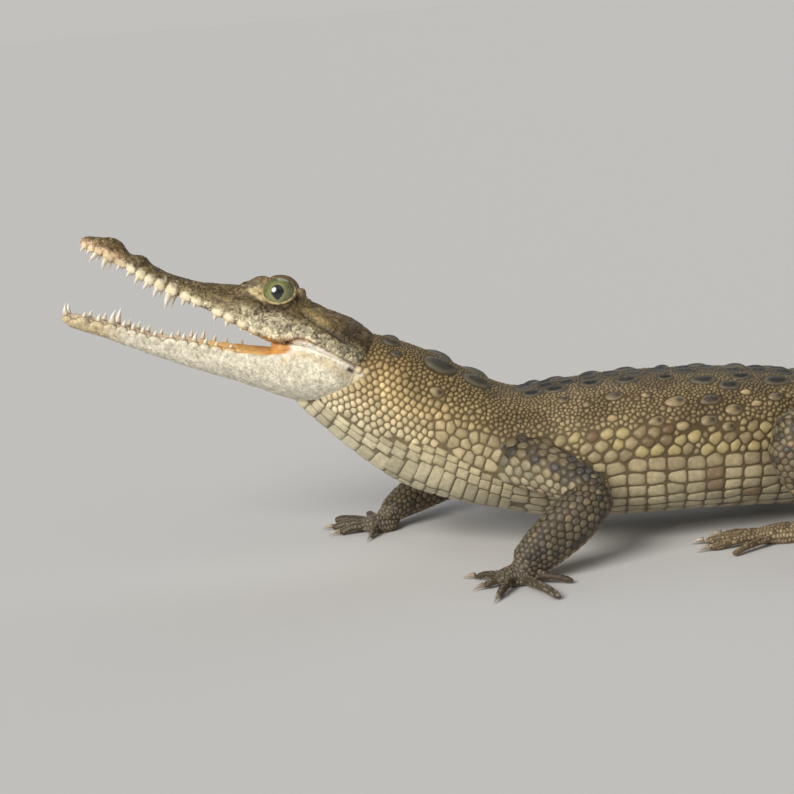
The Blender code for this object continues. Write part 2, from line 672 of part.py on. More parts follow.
def build_tail(name, first, last, rings):
    tail = body_loft(name, spread(first, last, rings), 12)
    trim_floor(tail)
    for s, offset, height, length in crest_plates(first, last):
        thick = 0.9 if offset else 0.75
        combine(tail, crest_plate(s, offset, height, length, thick, -0.12), "UNION")
    return tidy(tail)


# ------------------------------------------------------------------ limbs
def body_cutter():
    steps = spread(NECK_STATIONS[2][0], 230.0, 18)
    return body_loft("body_cutter", steps, 20, GAP)


def build_segments(prefix, upper_name, lower_name, upper, lower):
    top = tube(f"{prefix}_{upper_name}", upper, 10, between=0)
    combine(top, body_cutter(), "DIFFERENCE")
    low = tube(f"{prefix}_{lower_name}", lower, 10, between=0)
    combine(low, tube("upper_cutter", upper, 10, GAP, between=0), "DIFFERENCE")
    return tidy(top), tidy(low)


def digit(root, tip, radius):
    """Low arched toe from the palm to its pad on the floor."""
    root, tip = np.array(root), np.array(tip)
    rows = []
    for share, high, girth in ((0.1, 3.0, 1.0), (0.6, 2.8, 0.96), (0.97, 1.5, 0.78)):
        x, y = root + share * (tip - root)
        rows.append((x, y, high, radius * girth, radius * girth * 0.92))
    return tube("digit", rows, 5, cap=0.9, between=0)


def build_paw(name, palm, heading, tips, size, ankle_rows, claws, base):
    """Palm, digits and the claws of the inner three digits."""
    angle = math.radians(heading)
    forward = np.array([-math.cos(angle), -math.sin(angle), 0.0])
    across = np.array([forward[1], -forward[0], 0.0])
    centre = np.array([palm[0], palm[1], HAND_PALM + 0.3])
    paw = ellipsoid(name, centre, (forward, across, (0, 0, 1)),
                    (size[0], size[1], HAND_PALM + 0.9), 10, 5)
    wrist = np.array(ankle_rows[-1][:3])
    link = ((wrist[0], wrist[1], wrist[2], ankle_rows[-1][3] * 0.94, ankle_rows[-1][4] * 0.9),
            (centre[0], centre[1], HAND_PALM + 0.6, size[1] * 0.72, HAND_PALM))
    combine(paw, tube("wrist", link, 8, cap=0.5, between=0), "UNION")
    nails = []
    for k, tip in enumerate(tips):
        way = np.array(tip) - centre[:2]
        reach = np.linalg.norm(way)
        way = way / reach
        thick = DIGIT_RADIUS * (1.08 if 0 < k < len(tips) - 1 else 0.96)
        root = centre[:2] + way * min(size[1] * 0.55, reach * 0.4)
        clawed = k < len(claws)
        end = np.array(tip) - way * (CLAW_LENGTH * 0.72 if clawed else 0.0)
        combine(paw, digit(root, end, thick), "UNION")
        if clawed:
            start = end + way * (thick * 0.50)
            nails.append((f"{base}_claw_{claws[k]}", start, way, thick))
    trim_floor(tidy(paw))
    combine(paw, tube("ankle_cutter", ankle_rows, 10, GAP, between=0), "DIFFERENCE")
    tidy(paw)
    made = []
    for label, start, way, thick in nails:
        along = np.array([way[0], way[1], 0.0])
        foot = np.array([start[0], start[1], 2.15])
        tip = foot + along * CLAW_LENGTH - np.array([0.0, 0.0, 1.6])
        knuckle = foot + along * CLAW_LENGTH * 0.5 - np.array([0.0, 0.0, 0.2])
        claw = spike(label, foot, tip, CLAW_RADIUS, 6, knuckle, 0.62)
        grown = spike("claw_hole", foot - along * GAP, tip, CLAW_RADIUS + GAP, 6, knuckle, 0.66)
        combine(paw, grown, "DIFFERENCE")
        trim_floor(claw)
        made.append(tidy(claw))
    return tidy(paw), made


# ------------------------------------------------------------------ assembly
def build_limbs():
    made = []
    arms = (("left", LEFT_UPPER_ARM, LEFT_FOREARM, LEFT_HAND),
            ("right", RIGHT_UPPER_ARM, RIGHT_FOREARM, RIGHT_HAND))
    for side, upper, lower, hand in arms:
        made += build_segments(side, "upper_arm", "forearm", upper, lower)
        paw, claws = build_paw(f"{side}_hand", hand[0], hand[1], hand[2],
                               (HAND_LENGTH, HAND_WIDTH), lower, CLAWED_HAND, f"{side}_hand")
        made += [paw] + claws
    legs = (("left", LEFT_THIGH, LEFT_SHANK, LEFT_FOOT),
            ("right", RIGHT_THIGH, RIGHT_SHANK, RIGHT_FOOT))
    for side, upper, lower, foot in legs:
        made += build_segments(side, "thigh", "shank", upper, lower)
        paw, claws = build_paw(f"{side}_foot", foot[0], foot[1], foot[2],
                               (FOOT_LENGTH, FOOT_WIDTH), lower, CLAWED_FOOT, f"{side}_foot")
        made += [paw] + claws
    return made


def surface_of(name):
    if "eye" in name:
        return "eye"
    if "claw" in name:
        return "claw"
    if name == "tongue":
        return "tongue"
    if name == "lower_jaw":
        return "belly"
    return "hide"


def paint(obj):
    colour, rough = SKINS[surface_of(obj.name)]
    mat = bpy.data.materials.new(f"{obj.name}_surface")
    mat.use_nodes = True
    shader = mat.node_tree.nodes["Principled BSDF"]
    shader.inputs["Base Color"].default_value = colour
    shader.inputs["Roughness"].default_value = rough
    shader.inputs["Metallic"].default_value = 0.0
    mat.diffuse_color = colour
    obj.data.materials.clear()
    obj.data.materials.append(mat)
    for face in obj.data.polygons:
        face.use_smooth = True
        face.material_index = 0


def centre_on_floor(objects):
    """Moves every mesh so the bounding box's bottom centre is the origin."""
    low, high = np.full(3, 1e9), np.full(3, -1e9)
    for obj in objects:
        pts = np.array([v.co[:] for v in obj.data.vertices])
        low, high = np.minimum(low, pts.min(0)), np.maximum(high, pts.max(0))
    shift = np.array([(low[0] + high[0]) / 2, (low[1] + high[1]) / 2, low[2]])
    for obj in objects:
        for v in obj.data.vertices:
            v.co = Vector(v.co) - Vector(shift)


def main():
    for obj in list(bpy.data.objects):
        bpy.data.objects.remove(obj, do_unlink=True)
    parts = [build_head(), build_jaw(), build_tongue(), build_eye(-1, "eye_left"),
             build_eye(1, "eye_right"), build_neck(), build_trunk()]
    parts.append(build_tail("tail_base", TRUNK_END + GAP, TAIL_BASE_END, 7))
    parts.append(build_tail("tail_mid", TAIL_BASE_END + GAP, TAIL_MID_END, 7))
    parts.append(build_tail("tail_tip", TAIL_MID_END + GAP, TAIL_STATIONS[-1][0], 8))
    parts += build_limbs()
    centre_on_floor(parts)
    group = bpy.data.collections.new("crocodile")
    bpy.context.scene.collection.children.link(group)
    for obj in parts:
        bpy.context.scene.collection.objects.unlink(obj)
        group.objects.link(obj)
        paint(obj)


main()
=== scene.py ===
import math
from itertools import product

import bmesh
import bpy
import numpy as np
from mathutils import Matrix, Vector
from mathutils.bvhtree import BVHTree
from mathutils.kdtree import KDTree


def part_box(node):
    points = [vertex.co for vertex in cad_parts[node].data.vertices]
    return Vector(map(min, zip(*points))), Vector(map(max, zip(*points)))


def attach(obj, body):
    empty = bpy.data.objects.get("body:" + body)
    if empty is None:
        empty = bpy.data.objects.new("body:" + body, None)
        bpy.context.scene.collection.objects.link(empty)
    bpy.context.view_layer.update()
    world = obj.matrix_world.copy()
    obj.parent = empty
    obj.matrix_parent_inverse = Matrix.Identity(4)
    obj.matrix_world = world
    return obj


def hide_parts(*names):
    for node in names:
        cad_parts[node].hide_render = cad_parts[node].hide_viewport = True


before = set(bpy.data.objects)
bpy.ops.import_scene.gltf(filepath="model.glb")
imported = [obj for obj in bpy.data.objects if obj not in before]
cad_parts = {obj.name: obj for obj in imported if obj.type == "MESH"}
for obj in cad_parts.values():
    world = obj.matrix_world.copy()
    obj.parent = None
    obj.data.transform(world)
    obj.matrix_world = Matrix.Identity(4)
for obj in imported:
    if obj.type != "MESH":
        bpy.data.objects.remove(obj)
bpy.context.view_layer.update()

# ------------------------------------------------------------------ driving dimensions, mm
MM = 0.001
COAT = 0.40                     # depth of the scales, by which the skin lies inside the solids
HINGE = (-16.0, 0.0, 78.0)
HEAD_YAW = 8.0
HEAD_ROLL = -7.0
UPPER_PITCH = 27.0
LOWER_PITCH = 14.0
# head and jaw: distance ahead of the hinge, half width, roof, widest line, underside,
# roundness of roof and underside
HEAD_STATIONS = (
    (-5.0, 11.0, 11.5, 5.0, 1.2, 2.2, 2.6),
    (-2.5, 17.0, 14.2, 4.6, 0.4, 2.0, 2.6),
    (3.0, 20.8, 16.2, 4.4, 0.2, 1.8, 2.8),
    (12.0, 21.6, 17.0, 4.6, 0.4, 1.75, 2.8),
    (22.0, 20.6, 17.3, 4.2, 0.4, 1.8, 2.8),
    (27.0, 19.4, 17.2, 3.4, -1.6, 1.85, 3.0),
    (33.0, 17.8, 17.0, 2.4, -3.7, 1.9, 3.4),
    (44.0, 15.4, 14.8, 1.6, -3.4, 1.9, 3.8),
    (55.0, 12.4, 12.2, 1.0, -2.7, 2.0, 3.8),
    (64.0, 9.8, 9.2, 0.6, -2.2, 2.1, 3.8),
    (73.0, 8.0, 6.5, 0.5, -1.9, 2.1, 3.8),
    (82.0, 7.0, 5.5, 0.3, -1.9, 2.1, 3.8),
    (91.0, 6.4, 5.7, 0.7, -1.6, 2.1, 3.8),
    (97.0, 5.5, 7.4, 1.4, -0.8, 2.1, 3.6),
    (102.0, 4.7, 6.6, 2.0, -0.2, 2.1, 3.4),
    (107.0, 5.8, 9.5, 2.4, 0.0, 2.0, 3.2),
    (112.5, 6.6, 8.8, 3.0, 0.9, 2.1, 3.2),
    (118.0, 5.4, 7.0, 3.0, 0.8, 2.2, 3.0),
    (121.2, 3.4, 5.6, 3.1, 1.2, 2.3, 2.6),
    (122.6, 1.2, 4.2, 3.2, 2.2, 2.2, 2.2),
)
JAW_STATIONS = (
    (-8.5, 8.0, -2.0, -4.8, -7.5, 2.4, 2.2),
    (-5.5, 14.0, 3.0, -4.4, -10.0, 2.6, 2.1),
    (0.0, 19.4, 6.0, -4.0, -13.8, 2.6, 2.0),
    (8.0, 21.6, 9.0, -3.8, -17.4, 2.6, 1.9),
    (18.0, 20.9, 9.5, -4.0, -18.6, 2.6, 1.9),
    (28.0, 18.6, 6.6, -4.2, -17.9, 2.6, 1.9),
    (34.0, 17.0, 2.6, -4.2, -17.0, 3.0, 1.9),
    (44.0, 14.4, 0.7, -4.2, -15.6, 3.4, 1.9),
    (56.0, 11.2, -0.5, -4.2, -14.4, 3.6, 1.9),
    (70.0, 8.2, -0.6, -4.0, -12.8, 3.6, 1.9),
    (84.0, 6.2, -1.5, -4.2, -10.8, 3.6, 1.9),
    (96.0, 5.3, 0.0, -3.4, -9.0, 3.4, 2.0),
    (106.0, 5.7, 0.2, -2.9, -7.3, 3.4, 2.0),
    (114.5, 5.4, 0.8, -2.4, -6.4, 3.0, 2.1),
    (119.4, 3.9, 0.2, -1.9, -5.4, 2.8, 2.2),
    (121.8, 1.4, -0.6, -2.0, -3.8, 2.4, 2.2),
)
TONGUE_STATIONS = (
    (34.0, 7.0, -4.2, -6.2, -9.2, 2.6, 2.2),
    (46.0, 8.2, -3.6, -5.8, -9.6, 2.6, 2.2),
    (60.0, 6.6, -3.6, -5.6, -8.8, 2.6, 2.2),
    (76.0, 4.2, -3.7, -5.2, -7.6, 2.6, 2.2),
    (90.0, 2.9, -3.7, -4.8, -6.5, 2.6, 2.2),
    (98.0, 1.2, -3.4, -4.0, -4.9, 2.4, 2.2),
)
# teeth: distance along the jaw at gum and tip, height of the tip in the jaw's own frame
UPPER_TEETH = (
    (119.5, 120.2, -0.7), (116.6, 117.2, -0.6), (113.3, 114.9, -3.3), (109.0, 108.7, -4.4),
    (103.2, 103.4, -2.1), (98.2, 98.7, -3.3), (93.9, 94.7, -4.7), (89.5, 90.5, -5.3),
    (85.0, 85.2, -6.8), (79.6, 78.9, -8.9), (73.2, 72.8, -5.1), (68.4, 68.2, -3.6),
    (58.6, 58.1, -4.9), (53.2, 52.6, -5.2), (46.8, 46.2, -3.9), (42.0, 41.5, -3.4),
)
LOWER_TEETH = (
    (120.4, 121.3, 4.3), (112.2, 111.6, 2.6), (106.0, 105.6, 3.0), (100.3, 99.6, 5.7),
    (95.4, 94.9, 2.2), (91.3, 91.0, 1.8), (87.2, 86.6, 1.2), (81.8, 81.4, 0.4),
    (74.7, 74.7, 0.9), (69.6, 69.4, 1.9), (64.9, 64.4, 2.9), (60.2, 59.6, 1.6),
    (55.4, 55.2, 0.9), (49.2, 48.8, 0.9),
)
EYE_AT = (38.4, 9.0, 15.8)
EYE_RADIUS = 6.9
FAR_SHIFT = (0.8, 0.0, -1.2)              # head rolled: the far eye sits lower and further on
EYE_WAY = (0.062, 0.9865, 0.185)         # optical axis: ahead, out, up
EYE_FRONT = (0.92, 0.074, -0.385)        # towards the front corner of the lids
EYE_UPWARD = (0.385, -0.10, 0.917)       # towards the upper lid
LID_MIDDLE = (0.041, 0.194)              # middle of the opening, in ball radii
LID_HALF = (0.957, 0.747)                # half width and height of the opening
HORN = (30.3, 7.4, 17.4)                 # small horn behind the eye, and its root
HORN_SIZE = (2.3, 1.8, 4.5)
HORN_ROOT = ((27.6, 7.3, 15.4), (3.6, 2.4, 3.2))
BROW = ((43.6, 7.0, 14.5), (8.4, 4.4, 6.2))
BROW_TOE = ((49.8, 6.2, 11.8), (5.3, 3.4, 4.3))      # slope from the brow down to the snout
# mounds of the head's skin, and by how much of the far side's shift each one moves there
MOUNDS = ((BROW, 1.0), (BROW_TOE, 1.0), ((HORN, HORN_SIZE), 1.8), (HORN_ROOT, 1.8))
# skin between the jaws at the mouth's corner, in the frame halfway between the jaws
WEB_PITCH = 20.5
WEB_STATIONS = (
    (14.0, 18.4, 3.0, 0.0, -3.0, 2.6, 2.6),
    (22.0, 17.0, 4.0, 0.0, -4.0, 2.6, 2.6),
    (27.0, 15.6, 3.8, 0.0, -3.6, 2.6, 2.6),
    (31.0, 14.3, 3.0, 0.0, -3.0, 2.6, 2.6),
    (33.0, 13.2, 1.8, -0.2, -2.0, 2.4, 2.4),
    (33.8, 11.8, 0.7, -0.3, -1.2, 2.2, 2.2),
)
TROUGH = ((30.0, -0.5), (38.0, -4.6), (60.0, -5.4), (90.0, -5.6), (104.0, -4.2), (112.0, -1.5))
# lines on the head's side: distance ahead of the hinge and height in the upper frame
FOLD_LINE = ((-4.5, 0.0), (0.5, 0.9), (5.2, 1.6), (9.0, 2.0), (13.7, 2.2), (18.2, 1.8),
             (22.4, 0.6), (24.6, -1.9), (25.8, -4.2))
CREASE_LINE = ((-4.5, 1.3), (0.5, 2.2), (5.5, 3.0), (10.9, 3.4), (15.8, 3.9), (19.5, 4.1),
               (22.0, 3.7), (24.4, 2.7), (26.2, 1.0), (27.5, -0.6))
EAR_LINE = ((5.0, 11.0), (12.0, 12.0), (20.0, 13.3), (28.0, 14.6))
CORNER_LINE = ((52.4, 12.5), (51.2, 11.7), (47.0, 10.9), (42.9, 9.8), (39.0, 8.3))
SLIT_LINE = ((0.2, 0.0), (-3.2, -0.6), (-7.6, -1.5), (-11.0, -2.4))
PEACH_LINE = ((40.0, -3.2), (36.0, -2.7), (31.2, -1.2), (27.0, 0.8))
# neck and trunk: distance along, x and z of the back, x and z of the underside, half width,
# roundness of the back and the belly
BODY_STATIONS = (
    (-24.0, -11.5, 88.5, -41.0, 64.8, 12.5, 2.1, 2.1),
    (-16.0, -7.5, 90.0, -33.5, 57.0, 18.3, 2.1, 2.1),
    (-6.0, 1.5, 87.2, -21.0, 44.2, 21.6, 2.1, 2.1),
    (8.0, 15.0, 80.8, -2.5, 29.0, 24.4, 2.1, 2.1),
    (24.0, 31.5, 71.0, 17.0, 20.4, 27.6, 2.1, 2.2),
    (42.0, 47.0, 63.6, 38.5, 14.6, 31.0, 2.1, 2.3),
    (62.0, 64.0, 64.2, 60.0, 9.8, 34.0, 2.1, 2.4),
    (86.0, 86.0, 65.4, 85.6, 9.0, 36.4, 2.1, 2.5),
    (113.0, 113.0, 65.0, 113.0, 8.8, 37.0, 2.1, 2.5),
    (140.0, 140.0, 63.2, 140.0, 7.6, 34.0, 2.1, 2.4),
    (165.0, 165.0, 59.4, 165.0, 5.2, 28.4, 2.1, 2.3),
    (185.0, 185.0, 53.6, 185.0, 2.6, 24.4, 2.1, 2.2),
    (205.0, 205.0, 48.0, 205.0, 0.6, 20.8, 2.1, 2.1),
)
# tail: distance along, turn of the path there (deg), half width, height of the back
TAIL_STATIONS = (
    (230.0, 6.0, 17.2, 42.0),
    (265.0, 14.0, 13.4, 35.5),
    (305.0, 20.0, 10.4, 29.5),
    (350.0, 16.0, 8.0, 24.0),
    (400.0, 4.0, 6.0, 18.5),
    (450.0, -10.0, 4.3, 13.0),
    (500.0, -22.0, 2.8, 8.2),
    (540.0, -30.0, 1.8, 5.0),
    (562.0, -34.0, 0.9, 3.0),
)
TAIL_SINK = 0.8
# limbs: points with half thickness across and along the upright, from root to end
LIMBS = {
    "left_upper_arm": ((38.0, -18.0, 39.0, 9.0, 10.5), (52.0, -33.0, 38.0, 9.4, 10.2),
                       (64.0, -43.0, 34.0, 8.2, 8.8), (73.0, -50.0, 29.0, 7.2, 7.4)),
    "left_forearm": ((73.0, -50.5, 28.0, 8.0, 8.4), (63.0, -55.0, 20.8, 8.4, 10.4),
                     (52.0, -59.5, 13.4, 7.4, 9.4), (44.5, -62.0, 8.6, 6.4, 7.2)),
    "right_upper_arm": ((42.0, 18.0, 32.0, 9.0, 10.0), (34.0, 33.0, 25.0, 9.2, 9.8),
                        (25.0, 43.0, 18.0, 8.8, 9.0), (17.5, 48.0, 13.5, 7.8, 8.2)),
    "right_forearm": ((16.5, 47.5, 13.4, 7.8, 8.2), (7.5, 42.0, 12.2, 7.6, 8.4),
                      (-0.5, 35.5, 10.2, 6.8, 7.2), (-6.0, 31.0, 8.0, 5.8, 5.6)),
    "left_thigh": ((186.0, -12.0, 36.0, 10.0, 14.0), (173.0, -29.0, 40.0, 11.5, 14.6),
                   (160.0, -40.5, 42.5, 10.8, 13.6), (150.0, -47.0, 42.5, 9.0, 11.0)),
    "left_shank": ((149.5, -47.5, 40.5, 8.8, 9.6), (155.0, -47.5, 29.0, 8.2, 9.6),
                   (161.5, -44.0, 17.0, 6.2, 7.0), (164.5, -41.0, 8.5, 5.2, 5.4)),
    "right_thigh": ((186.0, 12.0, 34.0, 10.0, 14.0), (175.0, 29.0, 34.0, 11.5, 14.0),
                    (164.0, 42.0, 33.0, 10.8, 12.0), (155.0, 50.5, 31.0, 9.0, 10.0)),
    "right_shank": ((154.5, 51.0, 29.5, 8.6, 9.0), (159.0, 52.5, 21.5, 8.2, 8.8),
                    (165.0, 51.5, 13.5, 6.2, 6.8), (168.5, 49.5, 8.0, 5.2, 5.4)),
}
PALM_HALF = 2.9
DIGIT_RADIUS = 2.1
CLAW_LENGTH, CLAW_RADIUS = 4.6, 1.15
# hands and feet: palm centre, direction (deg from -X towards -Y), digit tips, palm half sizes
PAWS = {
    "left_hand": ((39.5, -62.5), 20.0, ((21.5, -52.5), (24.0, -68.0), (30.0, -84.0),
                                        (53.5, -88.0), (60.5, -69.5)), (8.4, 6.6)),
    "right_hand": ((-12.0, 28.0), 4.0, ((-17.0, 13.0), (-32.0, 25.0), (-35.0, 35.0),
                                        (-31.0, 46.0), (-17.0, 51.0)), (8.4, 6.6)),
    "left_foot": ((149.0, -37.5), 2.0, ((122.0, -24.5), (113.5, -33.0), (114.0, -44.0),
                                        (124.0, -54.0)), (15.0, 7.0)),
    "right_foot": ((153.0, 48.0), -6.0, ((126.5, 33.5), (117.0, 42.0), (116.5, 54.5),
                                         (126.0, 66.0)), (15.0, 7.0)),
}
CLAWS = ("inner", "second", "third")
PAW_OF = {"left_forearm": "left_hand", "right_forearm": "right_hand",
          "left_shank": "left_foot", "right_shank": "right_foot"}


# ------------------------------------------------------------------ numbers
NOISE_ORIGIN = 1000.0           # keeps the numbers of all noise cells above zero


def through(rows, s):
    """Catmull-Rom values of every column of rows at distances s (first column)."""
    table = np.array(rows, float)
    knots = table[:, 0]
    s = np.clip(np.asarray(s, float), knots[0], knots[-1])
    seg = np.clip(np.searchsorted(knots, s, side="right") - 1, 0, len(knots) - 2)
    left, right = knots[seg], knots[seg + 1]
    t = ((s - left) / (right - left))[:, None]
    slope = np.gradient(table, knots, axis=0)
    width = (right - left)[:, None]
    a, b = table[seg], table[seg + 1]
    ma, mb = slope[seg] * width, slope[seg + 1] * width
    return ((2 * t**3 - 3 * t**2 + 1) * a + (t**3 - 2 * t**2 + t) * ma
            + (-2 * t**3 + 3 * t**2) * b + (t**3 - t**2) * mb)


def smoothstep(low, high, x):
    t = np.clip((x - low) / (high - low), 0.0, 1.0)
    return t * t * (3 - 2 * t)


def fade(low, high, x):
    return 1 - smoothstep(low, high, x)


def bell(x, width):
    return np.exp(-(x / width) ** 2)


def unit(v):
    return v / np.maximum(np.linalg.norm(v, axis=-1, keepdims=True), 1e-12)


def dot(a, b):
    return np.sum(a * b, axis=-1)


def hashed(cells, seed):
    """Repeatable value from 0 to 1 for each row of three whole numbers."""
    c = cells.astype(np.uint64)
    low = np.uint64(0xFFFFFFFF)
    m = (c[..., 0] * np.uint64(73856093)) ^ (c[..., 1] * np.uint64(19349663))
    m = (m ^ (c[..., 2] * np.uint64(83492791)) ^ np.uint64(seed * 7919 + 17)) & low
    m = ((m ^ (m >> np.uint64(15))) * np.uint64(2246822519)) & low
    m = ((m ^ (m >> np.uint64(13))) * np.uint64(3266489917)) & low
    return (m ^ (m >> np.uint64(16))).astype(float) / 4294967295.0


def noise(points, size, seed=0):
    """Smooth value noise from 0 to 1 with features of that size."""
    q = np.asarray(points) / size + NOISE_ORIGIN
    base = np.floor(q).astype(np.int64)
    t = q - base
    t = t * t * (3 - 2 * t)
    total = np.zeros(len(q))
    for corner in product((0, 1), repeat=3):
        weight = np.prod(np.where(np.array(corner) > 0, t, 1 - t), axis=1)
        total += weight * hashed(base + np.array(corner), seed)
    return total


def cells(points, size, seed=0):
    """Nearest and second-nearest distance to scattered centres, and a value for each cell."""
    q = np.asarray(points) / size + NOISE_ORIGIN
    base = np.floor(q).astype(np.int64)
    near, next_near = np.full(len(q), 9.0), np.full(len(q), 9.0)
    own = np.zeros(len(q))
    for offset in product((-1, 0, 1), repeat=3):
        cell = base + np.array(offset)
        jitter = np.stack([hashed(cell, seed + k) for k in range(3)], 1)
        d = np.linalg.norm(cell + jitter - q, axis=1)
        closer = d < near
        next_near = np.where(closer, near, np.minimum(next_near, d))
        own = np.where(closer, hashed(cell, seed + 5), own)
        near = np.where(closer, d, near)
    return near, next_near, own


def ramp(x, stops):
    """Colour at x along stops of place, red, green and blue."""
    places, *channels = zip(*stops)
    return np.stack([np.interp(x, places, channel) for channel in channels], -1)


def mix(a, b, t):
    t = np.clip(np.asarray(t, float), 0.0, 1.0)[..., None]
    return np.asarray(a) * (1 - t) + np.asarray(b) * t


def line_gap(points, line):
    """Distance of points from a line of segments, in as many dimensions as the line has."""
    line = np.array(line, float)
    best = np.full(len(points), 1e9)
    for a, b in zip(line[:-1], line[1:]):
        step = b - a
        t = np.clip((points - a) @ step / (step @ step), 0, 1)
        best = np.minimum(best, np.linalg.norm(points - a - t[:, None] * step, axis=1))
    return best


def grid_of(rows, columns):
    return np.meshgrid(np.arange(rows), np.arange(columns), indexing="ij")


def kd_tree(points):
    tree = KDTree(len(points))
    for k, point in enumerate(points.tolist()):
        tree.insert(point, k)
    tree.balance()
    return tree


# ------------------------------------------------------------------ lofts
def superellipse(half, rise, drop, n_top, n_low, count):
    """Sections as (across, up) arrays, one row each, starting at the top."""
    angle = np.linspace(0.0, 2 * math.pi, count, endpoint=False)[None, :]
    top = np.cos(angle) >= -1e-9
    n = np.where(top, n_top[:, None], n_low[:, None])
    reach = np.where(top, rise[:, None], drop[:, None])
    across = half[:, None] * np.sign(np.sin(angle)) * np.abs(np.sin(angle)) ** (2 / n)
    return across, reach * np.sign(np.cos(angle)) * np.abs(np.cos(angle)) ** (2 / n)


def head_axes(pitch):
    """Rows: forwards, towards the right side, up, of the frame pitched at the hinge."""
    p, y, r = (math.radians(v) for v in (pitch, -HEAD_YAW, HEAD_ROLL))
    turn = np.array([[math.cos(y), -math.sin(y), 0], [math.sin(y), math.cos(y), 0], [0, 0, 1]])
    tip = np.array([[math.cos(p), 0, math.sin(p)], [0, 1, 0], [-math.sin(p), 0, math.cos(p)]])
    roll = np.array([[1, 0, 0], [0, math.cos(r), -math.sin(r)], [0, math.sin(r), math.cos(r)]])
    full = turn @ tip @ roll
    return np.array([-full[:, 0], full[:, 1], full[:, 2]])


UPPER = head_axes(UPPER_PITCH)
LOWER = head_axes(LOWER_PITCH)


def from_head(axes, local):
    return np.array(HINGE) + np.asarray(local) @ axes


def to_head(axes, points):
    return (np.asarray(points) - np.array(HINGE)) @ axes.T


def by_side(spot, side, share=1.0):
    """A place given for the near side, on either side of the head."""
    moved = np.array((spot[0], side * spot[1], spot[2]))
    return moved + (share * np.array(FAR_SHIFT) if side > 0 else 0.0)


def side_axes(side):
    """The upper frame with its second axis towards the outside."""
    return UPPER[0], side * UPPER[1], UPPER[2]


def eye_centre(side):
    return from_head(UPPER, by_side(EYE_AT, side))


def jaw_rings(rows, axes, step, count, grow):
    s = np.arange(rows[0][0], rows[-1][0] + step / 2, step)
    t = through(rows, s)
    across, up = superellipse(t[:, 1] + grow, t[:, 2] - t[:, 3] + grow, t[:, 3] - t[:, 4] + grow,
                              t[:, 5], t[:, 6], count)
    local = np.stack([np.broadcast_to(t[:, :1], across.shape), across, up + t[:, 3:4]], -1)
    return s, from_head(axes, local)


def body_table():
    """Rows: distance, centre x y z, lean, turn, half width, half height, roundnesses."""
    rows = []
    for s, xt, zt, xb, zb, half, n_top, n_low in BODY_STATIONS:
        rows.append((s, (xt + xb) / 2, 0.0, (zt + zb) / 2, math.atan2(xt - xb, zt - zb), 0.0,
                     half, math.hypot(xt - xb, zt - zb) / 2, n_top, n_low))
    x, y, last, way = rows[-1][1], 0.0, rows[-1][0], 0.0
    for s, turn, half, height in TAIL_STATIONS:
        mean = (way + math.radians(turn)) / 2
        x += (s - last) * math.cos(mean)
        y += (s - last) * math.sin(mean)
        way, last = math.radians(turn), s
        rows.append((s, x, y, (height - TAIL_SINK) / 2, 0.0, way, half,
                     (height + TAIL_SINK) / 2, 2.0, 2.2))
    return rows


def body_rings(step, count, grow):
    s = np.arange(BODY_STATIONS[0][0], TAIL_STATIONS[-1][0] + step / 2, step)
    t = through(body_table(), s)
    lean, turn = t[:, 4], t[:, 5]
    side = np.stack([-np.sin(turn), np.cos(turn), np.zeros(len(s))], 1)
    up = np.stack([np.sin(lean) * np.cos(turn), np.sin(lean) * np.sin(turn), np.cos(lean)], 1)
    across, high = superellipse(t[:, 6] + grow, t[:, 7] + grow, t[:, 7] + grow,
                                t[:, 8], t[:, 9], count)
    return s, (t[:, None, 1:4] + across[..., None] * side[:, None] + high[..., None] * up[:, None])


def tube_rings(rows, step, count, grow, cap=0.75):
    """Round-ended limb through points with half thickness across and along the upright."""
    rows = np.array(rows, float)
    length = np.concatenate([[0.0], np.cumsum(np.linalg.norm(np.diff(rows[:, :3], axis=0),
                                                             axis=1))])
    knots = np.arange(len(rows), dtype=float)
    many = max(4, int(length[-1] / step))
    value = through(np.column_stack([knots, rows]), np.linspace(0, knots[-1], many))[:, 1:]
    centre, wide, tall = value[:, :3], value[:, 3], value[:, 4]
    tangent = unit(np.gradient(centre, axis=0))
    along = np.linspace(0, length[-1], many)
    for end, sign in ((0, -1), (-1, 1)):
        reach = min(wide[end], tall[end]) * cap + grow
        bevels = np.radians((20.0, 40.0, 60.0, 80.0))
        extra = centre[end] + sign * reach * tangent[end] * np.sin(bevels)[:, None]
        shrink = np.cos(bevels)
        parts = [(centre, extra), (wide, wide[end] * shrink), (tall, tall[end] * shrink),
                 (tangent, np.repeat(tangent[end][None], len(bevels), 0)),
                 (along, along[end] + sign * reach * np.sin(bevels))]
        centre, wide, tall, tangent, along = (
            np.concatenate([a, b] if end else [b[::-1], a]) for a, b in parts)
    side = unit(np.cross(tangent, np.array((0.0, 0.0, 1.0))))
    up = np.cross(side, tangent)
    round_ = np.full(len(wide), 2.1)
    across, high = superellipse(wide + grow, tall + grow, tall + grow, round_, round_, count)
    points = centre[:, None] + across[..., None] * side[:, None] + high[..., None] * up[:, None]
    return along, points


def ellipsoid_rings(centre, axes, radii, count=32, many=17):
    """Rings along the first axis, starting at the third (upward) axis."""
    pole = np.linspace(math.pi * 0.97, math.pi * 0.03, many)
    turn = np.linspace(0, 2 * math.pi, count, endpoint=False)
    ahead = radii[0] * np.cos(pole)
    points = (np.array(centre) + ahead[:, None, None] * np.array(axes[0])
              + (radii[1] * np.sin(pole))[:, None, None] * np.sin(turn)[None, :, None]
              * np.array(axes[1])
              + (radii[2] * np.sin(pole))[:, None, None] * np.cos(turn)[None, :, None]
              * np.array(axes[2]))
    return ahead + radii[0], points


